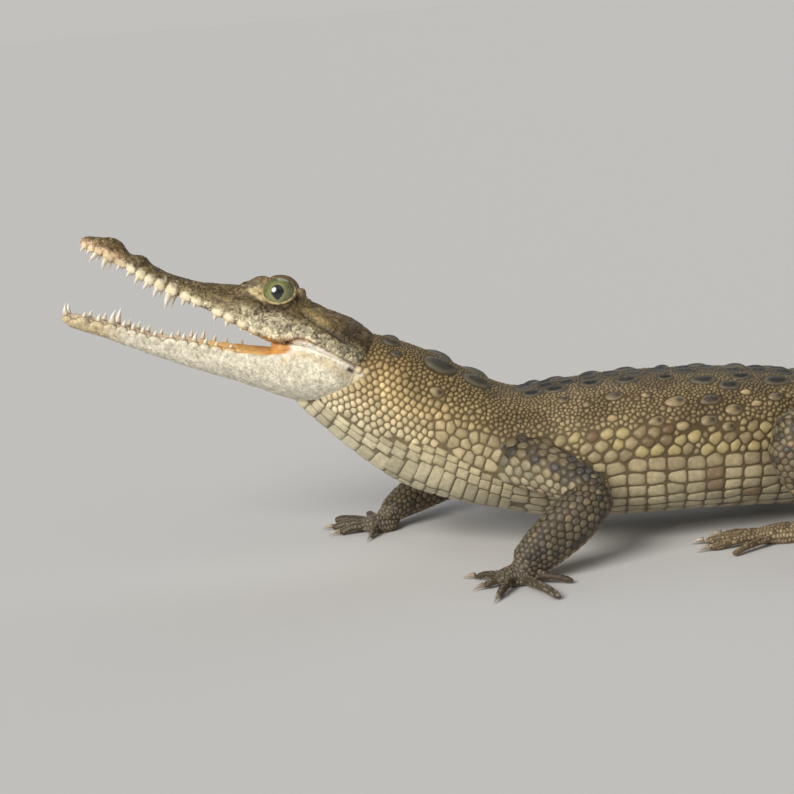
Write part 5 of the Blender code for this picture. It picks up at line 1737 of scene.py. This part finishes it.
# single bumps on the flank: distance along, share round, half length, half width, how dark
BUMPS = (
    (12.6, 0.285, 3.5, 2.3, 0.15), (64.9, 0.190, 2.8, 1.9, 0.75), (75.1, 0.235, 2.5, 1.6, 0.55),
    (86.6, 0.208, 4.4, 2.5, 0.65), (84.2, 0.317, 2.7, 1.7, 0.10), (99.0, 0.218, 2.1, 1.4, 0.20),
    (110.2, 0.262, 5.0, 3.0, 0.25), (123.9, 0.262, 5.2, 2.8, 1.00), (132.6, 0.312, 4.0, 2.6, 0.30),
    (121.8, 0.355, 3.9, 2.4, 0.55), (111.0, 0.372, 3.0, 1.9, 0.10), (101.1, 0.345, 4.0, 2.2, 0.20),
    (129.3, 0.384, 2.9, 2.0, 0.45), (138.7, 0.225, 2.6, 1.5, 0.10), (142.0, 0.285, 2.8, 1.7, 0.10),
    (150.5, 0.245, 3.6, 2.2, 0.60), (158.0, 0.330, 3.4, 2.1, 0.25), (167.0, 0.255, 4.0, 2.4, 0.85),
    (176.0, 0.320, 3.2, 2.0, 0.30), (184.0, 0.240, 3.6, 2.2, 0.60), (194.0, 0.300, 3.0, 1.9, 0.20),
)
# slate plates beside the ridge of the back: distance along, share round, half length and width
SLATES = (
    (51.5, 0.090, 4.3, 2.6), (62.5, 0.088, 4.8, 2.7), (78.5, 0.078, 4.8, 2.6),
    (93.5, 0.085, 5.2, 2.7), (108.9, 0.090, 3.4, 1.9), (123.5, 0.125, 5.4, 2.9),
    (133.0, 0.170, 4.4, 2.5), (139.0, 0.098, 4.6, 2.6), (153.0, 0.125, 5.6, 3.2),
    (165.0, 0.105, 5.0, 2.8), (176.5, 0.120, 5.0, 2.8), (188.0, 0.105, 4.8, 2.6),
    (199.0, 0.115, 4.6, 2.6),
)
# plates of the nape: distance along, offset, half length and width, height, keel
NUCHAL = (
    (12.0, 8.8, 7.6, 5.6, 1.5, 1.1), (25.4, 8.3, 6.6, 4.9, 1.3, 0.9),
    (-7.5, 5.0, 4.2, 2.8, 0.9, 0.7), (-4.5, 12.0, 2.6, 1.9, 0.7, 0.4),
)


def lay_scutes(coat):
    """Low keeled plates of the back, nape and occiput."""
    girth = coat.guide.patches[BODY].girth
    rows = np.arange(48.0, 207.0, 9.8)
    for side in (-1, 1):
        key = np.stack([np.arange(len(rows)), np.zeros(len(rows), int),
                        np.full(len(rows), side + 1)], 1)
        luck, other = hashed(key, 11), hashed(key, 14)
        s = rows + (luck - 0.5) * 2.0
        share = side * 3.3 / girth(s)
        colour = mix((0.018, 0.020, 0.022), (0.070, 0.058, 0.038), smoothstep(0.3, 0.8, other))
        coat.bed("scutes", BODY, s, share, 4.9, 3.1, power=3.0, height=0.45, dome=3.4,
                 keel=0.5 + 0.5 * luck, reach=2.0, rank=9.0, seed=12, colour=colour, swell=1.0,
                 rim=0.25)
    for k, (s, share, long, wide) in enumerate(SLATES):
        for side in (-1, 1):
            luck = float(hashed(np.array([[k, 5, side + 1]]), 15)[0])
            colour = mix(np.array(SLATE) * 0.5, (0.060, 0.050, 0.036), 0.45 * luck)
            coat.bed("scutes", BODY, [s + 0.8 * side], [side * (share + 0.010)], 1.08 * long,
                     1.25 * wide, power=2.5, height=0.90, dome=2.6, keel=0.45 + 0.4 * luck,
                     tilt=-4.0, reach=2.0, rank=9.5, seed=13, colour=colour, swell=1.0, rim=0.45)
    for s, offset, long, wide, height, keel in NUCHAL:
        for side in (-1, 1):
            share = side * offset / float(girth(s))
            coat.bed("scutes", BODY, [s], [share], long, wide, power=2.2, height=height,
                     dome=2.8, keel=keel, reach=4.0, rank=10.0, seed=13,
                     colour=(0.046, 0.043, 0.034), swell=1.0, rim=0.35)


def lay_tubercles(coat):
    """Single oval bumps of the upper flank, tan with dark centres."""
    for s, share, long, wide, dark in BUMPS:
        colour = mix((0.40, 0.30, 0.155), (0.070, 0.052, 0.035), dark)
        spot = 0.95 if dark > 0.12 else 0.0
        for side in (-1, 1):
            coat.bed("scutes", BODY, [s + 0.5 * side], [side * share], long, wide, power=2.1,
                     height=1.10, dome=2.4, keel=0.15, tilt=-6.0, reach=2.0, rank=8.0, seed=14,
                     colour=colour, spot=spot, swell=1.0, rim=0.5)


GRAIN_DRAWS = 90000             # grains tried at random places
GRAIN_CELL = 2.2                # mm, grid in which neighbouring grains are looked up


def bare_spots(points, size, scales):
    """Which grains touch neither a scale laid before nor a grain kept before them."""
    held, long, wide, axis = (scales.so_far(f) for f in ("centre", "long", "wide", "axis"))
    tree = kd_tree(held)
    grid, kept = {}, []

    def on_grain(x, y, z, r, key):
        for step in product((-1, 0, 1), repeat=3):
            for j in grid.get((key[0] + step[0], key[1] + step[1], key[2] + step[2]), ()):
                a, b, c = points[j]
                if (a - x) ** 2 + (b - y) ** 2 + (c - z) ** 2 < (0.93 * (r + size[j])) ** 2:
                    return True
        return False

    def on_scale(x, y, z, r):
        for _, k, apart in tree.find_range((x, y, z), r + 6.8):
            way = np.array((x, y, z)) - held[k]
            along = float(way @ axis[k])
            rest = math.sqrt(max(float(way @ way) - along * along, 0.0))
            if apart < reach_of(long[k], wide[k], 2.2, math.atan2(rest, along)) + 0.72 * r:
                return True
        return False

    for i, spot in enumerate(points):
        key = tuple(int(v // GRAIN_CELL) for v in spot)
        if on_grain(*spot, size[i], key) or on_scale(*spot, size[i]):
            continue
        grid.setdefault(key, []).append(i)
        kept.append(i)
    return np.array(kept)


def lay_granules(coat):
    """Fine grains wherever the back and flanks are still bare."""
    rng = np.random.default_rng(7)
    many = GRAIN_DRAWS
    s = rng.uniform(-24.0, 212.0, many)
    share = rng.uniform(-0.52, 0.52, many)
    off = np.abs(share)
    size = 0.56 + 0.20 * smoothstep(0.08, 0.26, off) + 0.50 * smoothstep(0.26, 0.44, off)
    size += 0.22 * smoothstep(0.10, 0.30, off) * fade(22.0, 36.0, s)
    size *= 0.80 + 0.30 * rng.random(many) + 0.45 * (rng.random(many) > 0.86)
    bare = (s > jaw_edge(share)) | (off < 0.36)
    s, share, size = s[bare], share[bare], size[bare]
    kept = bare_spots(coat.guide.patches[BODY].at(s, share).tolist(), size, coat.scales)
    size = size[kept]
    coat.bed("grains", BODY, s[kept], share[kept], size * 1.12, size, power=2.4,
             height=size * 0.56, dome=3.0, reach=4.0, rank=1.0, seed=15, tone=1.30, swell=1.6,
             palette=((0.10, (0.13, 0.09, 0.045)),))


# ------------------------------------------------------------------ materials
class Looks:
    """Nodes of a material or a world; every input is a value or a socket to link."""

    def __init__(self, owner, last="Principled BSDF"):
        owner.use_nodes = True
        self.owner, self.tree = owner, owner.node_tree
        self.last = self.tree.nodes[last]

    def plug(self, node, **inputs):
        for name, value in inputs.items():
            socket = node.inputs[name.replace("_", " ")]
            if isinstance(value, bpy.types.NodeSocket):
                self.tree.links.new(value, socket)
            else:
                socket.default_value = value

    def add(self, kind, output, settings=(), **inputs):
        """Output of a new node."""
        node = self.tree.nodes.new("ShaderNode" + kind)
        for name, value in settings:
            setattr(node, name, value)
        self.plug(node, **inputs)
        return node.outputs[output]

    def end(self, **inputs):
        """Sets the shader itself and returns what it belongs to."""
        self.plug(self.last, **inputs)
        return self.owner

    def grain(self, scale, detail, roughness=0.5):
        return self.add("TexNoise", "Fac", Vector=self.add("TexCoord", "Object"), Scale=scale,
                        Detail=detail, Roughness=roughness)

    def ranged(self, source, low, high, to_low, to_high):
        return self.add("MapRange", "Result", Value=source, From_Min=low, From_Max=high,
                        To_Min=to_low, To_Max=to_high)

    def blend(self, a, b, factor=1.0, kind="MULTIPLY"):
        return self.add("Mix", "Result", (("data_type", "RGBA"), ("blend_type", kind)),
                        Factor=factor, A=a, B=b)

    def tint(self):
        """The mesh's own colour."""
        return self.add("Attribute", "Color", (("attribute_name", "tint"),))

    def waved(self, source, low, high, to_low, to_high):
        """The mesh's own colour, darker and lighter with the source."""
        wave = self.ranged(source, low, high, to_low, to_high)
        return self.blend(self.tint(), self.add("CombineColor", "Color", Red=wave, Green=wave,
                                                Blue=wave))

    def tones(self, source, *stops):
        """Colour along two stops of place and colour."""
        node = self.tree.nodes.new("ShaderNodeValToRGB")
        for element, (place, colour) in zip(node.color_ramp.elements, stops):
            element.position, element.color = place, (*colour, 1)
        self.plug(node, Fac=source)
        return node.outputs["Color"]

    def bump(self, height, strength, distance):
        return self.add("Bump", "Normal", Height=height, Strength=strength, Distance=distance)


def hide_material(name, rough, bump, grain, speck):
    """Tint from the mesh, finer mottling, pores and bump in the surface."""
    looks = Looks(bpy.data.materials.new(name))
    mottle, fine = looks.grain(420.0, 4.0, 0.6), looks.grain(1600.0, 3.0, 0.6)
    light = looks.waved(mottle, 0.3, 0.7, 1.0 - grain, 1.0 + grain)
    specks = looks.ranged(fine, 0.60, 0.72, 0.0, speck)
    return looks.end(Specular_IOR_Level=0.30, Normal=looks.bump(fine, bump, 0.00022),
                     Base_Color=looks.blend(light, (0.05, 0.035, 0.02, 1), specks, "MIX"),
                     Roughness=looks.ranged(mottle, 0.3, 0.7, rough - 0.08, rough + 0.10))


# ------------------------------------------------------------------ eyes, teeth, tongue, claws
def spun_uv(mesh, points, centre, axes, size):
    """Flat map of a round piece: its first axis looks out of the middle of the map."""
    rel = points - centre
    far = np.linalg.norm(rel, axis=1)
    x, y, z = (rel @ np.array(axis) for axis in (axes[1], axes[2], axes[0]))
    away = np.arccos(np.clip(z / np.maximum(far, 1e-9), -1, 1)) / math.pi
    flat = np.maximum(np.hypot(x, y), 1e-9)
    uv = 0.5 + 0.48 * np.column_stack([x / flat, y / flat]) * away[:, None] * size
    add_uv(mesh, uv[corners_of(mesh)])


def eye_material():
    """Wet eyeball: its tint with fine flecks, and a clear coat on top."""
    looks = Looks(bpy.data.materials.new("eye_wet"))
    flecked = looks.waved(looks.grain(2600.0, 3.0), 0.0, 1.0, 0.82, 1.18)
    return looks.end(Base_Color=flecked, Roughness=0.16, Coat_Weight=1.0, Coat_Roughness=0.02)


def iris_colour(x, y):
    """Colour over the eyeball, x to the front corner and y up, in ball radii."""
    turn, far = np.arctan2(y, x), np.hypot(x, y)
    streak = noise(np.column_stack([np.cos(turn) * 9, np.sin(turn) * 9, far * 2.5]), 1.0, 91)
    fine = noise(np.column_stack([np.cos(turn) * 26, np.sin(turn) * 26, far * 5]), 1.0, 92)
    mesh = 0.6 * streak + 0.4 * fine
    olive, gold = np.array((0.125, 0.140, 0.045)), np.array((0.235, 0.235, 0.085))
    colour = mix(olive, gold, smoothstep(0.42, 0.72, mesh) * 0.8)
    colour = mix(colour, gold * 0.9, 0.75 * bell(far - 0.50, 0.11))
    colour = mix(colour, (0.085, 0.090, 0.030), 0.6 * smoothstep(0.62, 0.86, far))
    rear = 0.05 * fade(-0.8, 0.2, x)
    colour = mix(colour, (0.035, 0.035, 0.018), smoothstep(0.86, 0.95, far + rear))
    # pupil: rounded above, drawn to a point below
    py = y + 0.02
    low = py < 0
    half_x, half_y = 0.37, np.where(low, 0.47, 0.42)
    power = np.where(low, 1.35, 1.9)
    edge = (np.abs(x / half_x) ** power + np.abs(py / half_y) ** power)
    edge += 0.14 * (fine - 0.5)
    colour = mix(colour, (0.30, 0.29, 0.13), 0.6 * bell(edge - 1.25, 0.22))
    return mix(colour, (0.004, 0.004, 0.006), fade(0.90, 1.06, edge))


def build_eyes():
    material = eye_material()
    for side, name in ((-1, "left"), (1, "right")):
        bm = bmesh.new()
        bmesh.ops.create_uvsphere(bm, u_segments=128, v_segments=80, radius=1.0)
        mesh = mesh_of(bm, "eyeball")
        ball = vectors(mesh.vertices, "co")
        flip = np.array((1.0, side, 1.0))
        look = unit(np.array(EYE_WAY) * flip)
        front = np.array(EYE_FRONT) * flip
        front = unit(front - (front @ look) * look)
        high = np.cross(look, front)
        high = high if high @ (np.array(EYE_UPWARD) * flip) > 0 else -high
        basis = np.array([front, high, look])
        bulge = 1.0 + 0.035 * smoothstep(0.70, 0.98, ball[:, 2])
        local = (ball * bulge[:, None] * (EYE_RADIUS - 0.02)) @ basis
        points = eye_centre(side) + local @ UPPER
        obj = linked(f"eyeball_{name}", mesh)
        write_points(mesh, points)
        mesh.shade_smooth()
        colour = iris_colour(ball[:, 0], ball[:, 1])
        colour = mix(colour, (0.10, 0.08, 0.05), fade(-0.05, 0.15, ball[:, 2]))
        add_tint(mesh, colour)
        world = basis @ UPPER
        spun_uv(mesh, points, eye_centre(side), (world[2], world[0], world[1]), 0.98)
        mesh.materials.append(material)
        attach(obj, "root")
        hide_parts(f"eye_{name}")


def smooth_material(name, base, second, rough, coat, scale, bump, weight=0.0):
    """Smooth organic stuff: two colours in streaks, light bump, optional soft scatter."""
    looks = Looks(bpy.data.materials.new(name))
    veins = looks.grain(scale, 4.0)
    streaks = looks.tones(veins, (0.36, second), (0.62, base))
    return looks.end(Roughness=rough, Coat_Weight=coat, Coat_Roughness=0.12,
                     Subsurface_Weight=weight, Subsurface_Scale=0.0006,
                     Base_Color=looks.blend(streaks, looks.tint()),
                     Normal=looks.bump(veins, bump, 0.0002))


def horn_points(root, tip, lean, radius, sides, rings, flat=1.0):
    """Curved pointed cone from root to tip: its points and its shares of the way."""
    length = np.linalg.norm(tip - root)
    axis = (tip - root) / length
    lean = unit(lean - (lean @ axis) * axis)
    side = np.cross(axis, lean)
    t = 1 - (1 - np.linspace(0, 1, rings)) ** 1.25
    bend = 0.09 * length * np.sin(math.pi * t)
    girth = radius * (1 - t ** 1.08) ** 0.94
    girth[-1] = 0.02 * radius
    turn = np.linspace(0, 2 * math.pi, sides, endpoint=False)
    middle = root + t[:, None] * length * axis + bend[:, None] * lean
    points = (middle[:, None] + (girth[:, None] * np.cos(turn))[..., None] * lean
              + (girth[:, None] * np.sin(turn) * flat)[..., None] * side)
    return points, t


def horns(name, items, sides, rings, root_tint, pale_from):
    """Joined mesh of cones: (root, tip, lean, radius, flatness) each. The tint at the root
    has gone over into white halfway up."""
    points, quads, ends, tints, uv = [], [], [], [], []
    wide = math.ceil(math.sqrt(len(items)))
    for k, (root, tip, lean, radius, flat) in enumerate(items):
        rows, t = horn_points(np.array(root), np.array(tip), np.array(lean), radius, sides,
                              rings, flat)
        base = k * sides * rings
        points.append(rows.reshape(-1, 3))
        quads.append(ring_faces(rings, sides) + base)
        ends += [base + np.arange(sides)[::-1], base + (rings - 1) * sides + np.arange(sides)]
        shade = mix(root_tint, WHITE, smoothstep(pale_from, 0.5, t))
        tints.append(np.repeat(shade, sides, axis=0))
        cell = np.array((k % wide, k // wide)) + 0.5
        turn = np.linspace(0, 2 * math.pi, sides, endpoint=False)
        ray = np.stack([np.cos(turn), np.sin(turn)], -1)[None] * (1 - 0.95 * t)[:, None, None]
        uv.append(((cell + 0.45 * ray) / wide).reshape(-1, 2))
    obj = new_mesh(name, np.concatenate(points), [np.concatenate(quads), np.array(ends)])
    add_tint(obj.data, np.concatenate(tints))
    add_uv(obj.data, np.concatenate(uv)[corners_of(obj.data)])
    return obj


def tooth_items(teeth, stations, axes, inset, edge, down):
    """Both rows of teeth of one jaw."""
    items = []
    row = through(stations, [t[0] for t in teeth])
    for (root, tip, height), at in zip(teeth, row):
        gum = at[4] if down else at[2]
        long = abs(height - gum)
        radius = min(0.80 + 0.17 * long, 2.0)
        sink = 0.6 if down else -0.6
        for side in (-1, 1):
            out = max(at[1] - inset, 1.3)
            start = from_head(axes, (root, side * out, gum + sink))
            end = from_head(axes, (tip, side * (out + edge), height))
            lean = axes[1] * side + 0.7 * axes[0]
            items.append((start, end, lean, radius, 0.86))
    return items


def build_teeth():
    ivory = smooth_material("tooth_enamel", (0.82, 0.78, 0.68), (0.66, 0.62, 0.52), rough=0.24,
                            coat=0.35, scale=900.0, bump=0.05)
    for name, items in (
            ("teeth_upper", tooth_items(UPPER_TEETH, HEAD_STATIONS, UPPER, 1.1, 0.5, True)),
            ("teeth_lower", tooth_items(LOWER_TEETH, JAW_STATIONS, LOWER, 1.1, 0.2, False))):
        obj = horns(name, items, 14, 12, (0.92, 0.84, 0.68), 0.05)
        obj.data.materials.append(ivory)
        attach(obj, "root")


def build_tongue():
    """Flat tongue, fixed along its length, with fine pimples."""
    rings = jaw_rings(TONGUE_STATIONS, LOWER, 0.6, 72, 0.0)[1]
    obj = closed_shell("tongue_flesh", rings)
    points = read_points(obj.data)
    normals = normals_of(points, obj.data)
    grain = cells(points, 0.9, 51)
    local = to_head(LOWER, points)
    groove = 0.5 * bell(local[:, 1], 0.6)
    lift = 0.10 * (1 - grain[0]) - groove + 0.4 * (noise(points, 3.5, 52) - 0.5)
    write_points(obj.data, points + lift[:, None] * normals)
    add_tint(obj.data, mix((0.95, 0.80, 0.62), WHITE, grain[2]))
    top = local[:, 2] > np.interp(local[:, 0], [r[0] for r in TONGUE_STATIONS],
                                  [r[3] for r in TONGUE_STATIONS])
    uv = np.column_stack([0.05 + (local[:, 0] - 30.0) / 80.0,
                          np.where(top, 0.3, 0.7) + local[:, 1] / 60.0])
    add_uv(obj.data, uv[corners_of(obj.data)])
    obj.data.materials.append(smooth_material(
        "tongue_moist", (0.68, 0.40, 0.19), (0.58, 0.33, 0.15), rough=0.34, coat=0.5,
        scale=500.0, bump=0.3, weight=0.1))
    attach(obj, "root")
    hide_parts("tongue")


def build_claws():
    """Curved claws, one joined piece for each hand and foot."""
    horn = smooth_material("claw_horn", (0.42, 0.37, 0.29), (0.28, 0.235, 0.175), rough=0.34,
                           coat=0.2, scale=700.0, bump=0.1)
    for paw in PAWS:
        digits = paw_plan(paw)[4]
        items = []
        for _, end, way, thick in digits[:len(CLAWS)]:
            flat = np.array((way[0], way[1], 0.0))
            foot = np.array((end[0], end[1], 0.0)) + flat * thick * 0.1 + (0, 0, 1.95)
            tip = foot + flat * (CLAW_LENGTH + thick * 0.4) - (0.0, 0.0, 1.55)
            items.append((foot, tip, np.array((0.0, 0.0, 1.0)), CLAW_RADIUS * 1.05, 0.72))
        obj = horns(f"claws_{paw}", items, 18, 14, (0.62, 0.55, 0.45), 0.0)
        points = read_points(obj.data)
        points[:, 2] = np.maximum(points[:, 2], 0.03)
        write_points(obj.data, points)
        obj.data.materials.append(horn)
        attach(obj, "root")
        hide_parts(*[f"{paw}_claw_{which}" for which in CLAWS])


# ------------------------------------------------------------------ stage, light and camera
CAMERA_AIM = (0.0, 0.0, 63.4)
CAMERA_AWAY = 800.0             # mm from the aim
CAMERA_RISE, CAMERA_ROLL = 12.0, -5.0
PICTURE_WIDE = 323.2            # mm that the picture spans at the aim
SENSOR = 36.0
# suns: azimuth, elevation and width (deg), strength, colour
LAMPS = {
    "key": (-40.0, 36.0, 32.0, 3.25, (1.0, 0.96, 0.90)),
    "fill": (25.0, 62.0, 60.0, 0.40, (1.0, 0.98, 0.95)),
    "rear": (160.0, 45.0, 40.0, 0.40, (0.95, 0.98, 1.0)),
}
# kinds of scales: corners, gap between neighbours, rings as shares of the radius, and
# whether the skin bends them
COATS = {
    "plates": (16, 0.12, (1.0, 0.96, 0.80, 0.45), True),
    "bands": (48, 0.09, (1.0, 0.97, 0.85, 0.64, 0.42, 0.20), True),
    "beads": (9, 0.12, (1.0, 0.88, 0.50), False),
    "limbs": (10, 0.10, (1.0, 0.90, 0.52), True),
    "grains": (7, 0.12, (1.0, 0.84, 0.44), False),
    "scutes": (24, 0.24, (1.0, 0.94, 0.80, 0.56, 0.28), True),
}


def add_camera():
    """The camera of the photo, from the animal's left and rolled a little."""
    rise, roll = math.radians(CAMERA_RISE), math.radians(CAMERA_ROLL)
    back = np.array((0.0, -math.cos(rise), math.sin(rise)))
    level = np.array((1.0, 0.0, 0.0))
    high = np.cross(back, level)
    right = math.cos(roll) * level + math.sin(roll) * high
    up = -math.sin(roll) * level + math.cos(roll) * high
    data = bpy.data.cameras.new("camera")
    data.sensor_width = SENSOR
    data.lens = SENSOR * CAMERA_AWAY / PICTURE_WIDE
    data.clip_start, data.clip_end = 0.01, 20.0
    place = (np.array(CAMERA_AIM) + CAMERA_AWAY * back - SHIFT) * MM
    camera = linked("camera", data)
    camera.matrix_world = Matrix(np.vstack([np.column_stack([right, up, back, place]),
                                            (0, 0, 0, 1)]).tolist())
    bpy.context.scene.camera = camera


def add_lamps():
    for name, (azimuth, elevation, width, strength, colour) in LAMPS.items():
        a, e = math.radians(azimuth), math.radians(elevation)
        way = Vector((math.sin(a) * math.cos(e), -math.cos(a) * math.cos(e), math.sin(e)))
        light = bpy.data.lights.new(name, "SUN")
        light.energy, light.color, light.angle = strength, colour, math.radians(width)
        obj = linked(name, light)
        obj.location = Vector((-0.05, 0.0, 0.05)) + way * 2.0
        obj.rotation_euler = way.to_track_quat("Z", "Y").to_euler()


def studio_sky():
    """Even pale sky that darkens to the floor's own tone at the horizon."""
    looks = Looks(bpy.data.worlds.new("studio"), "Background")
    height = looks.add("SeparateXYZ", "Z", Vector=looks.add("TexCoord", "Generated"))
    return looks.end(Strength=1.0, Color=looks.tones(height, (0.04, (0.544, 0.531, 0.512)),
                                                     (0.60, (0.10, 0.102, 0.106))))


def build_floor():
    bm = bmesh.new()
    bmesh.ops.create_grid(bm, x_segments=8, y_segments=8, size=14.0)
    floor = linked("floor", mesh_of(bm, "floor"))
    paper = Looks(bpy.data.materials.new("floor_paper"))
    floor.data.materials.append(paper.end(Base_Color=(0.55, 0.55, 0.55, 1), Roughness=0.85))


def build_coats(skin, guide, chart):
    """Lays all scales and joins them, one mesh for each kind and side."""
    coat = Coat(skin, guide, chart)
    for lay in (lay_neck, lay_body_scales, lay_tail_scales, lay_limb_scales, lay_scutes,
                lay_tubercles, lay_granules):
        lay(coat)
    coat.scales.close()
    coat.thin()
    kinds, left = coat.scales.kinds, coat.scales.centre[:, 1] < 0
    hide = hide_material("scale_hide", rough=0.40, bump=0.5, grain=0.20, speck=0.30)
    for kind, (sides, gap, rings, drape) in COATS.items():
        shaped = coat.own_outlines if kind == "bands" else coat.outlines
        angle, radius = shaped(sides, gap)
        for side, half in (("left", left), ("right", ~left)):
            obj = coat.build(f"coat_{kind}_{side}", (kinds == kind) & half, angle, radius,
                             rings, drape)
            obj.data.materials.append(hide)
            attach(obj, "root")


def paint_skin(skin, points, guide, place, dark, crack, own):
    """Colour of every vertex, with painted shade on the skin between the scales and in furrows and
    cracks.
    """
    patch, along, share = place[:3]
    tint = flesh_colour(guide, patch, along, share, points, normals_of(points, skin.data))
    region = np.array([p.region for p in guide.patches])[patch]
    scaled = ~np.isin(region, ("head", "jaw")) * (
        1 - (region == "body") * behind_jaw(along, share))
    # painted shade: the skin showing between the scales is darkened
    tint = mix(tint, tint * GAP_SHADE, scaled)
    tint = tint * (1 + 0.75 * (own - 0.5) * (own > 0))[:, None]
    # painted shade in the cracks and furrows of the head and jaw
    tint = mix(tint, (0.040, 0.030, 0.018), np.clip(0.72 * crack + 0.85 * dark, 0, 1))
    add_tint(skin.data, tint)


def main():
    guide = Guide([Patch(*loft) for loft in all_lofts(-COAT)])
    chart = Chart(guide.patches)
    skin, dark, crack, own = build_skin(guide)
    points = read_points(skin.data)
    place = guide.locate(points)
    paint_skin(skin, points, guide, place, dark, crack, own)
    unwrap_skin(skin.data, points, guide, chart, place)
    skin.data.materials.clear()
    skin.data.materials.append(hide_material("skin_hide", rough=0.48, bump=0.6, grain=0.22,
                                              speck=0.4))
    flesh = [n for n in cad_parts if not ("claw" in n or "eye" in n or n == "tongue")]
    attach(skin, "root")
    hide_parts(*flesh)
    build_coats(skin, guide, chart)
    build_eyes()
    build_teeth()
    build_tongue()
    build_claws()
    build_floor()
    add_camera()
    add_lamps()
    bpy.context.scene.view_settings.view_transform = "Standard"
    bpy.context.scene.world = studio_sky()


main()
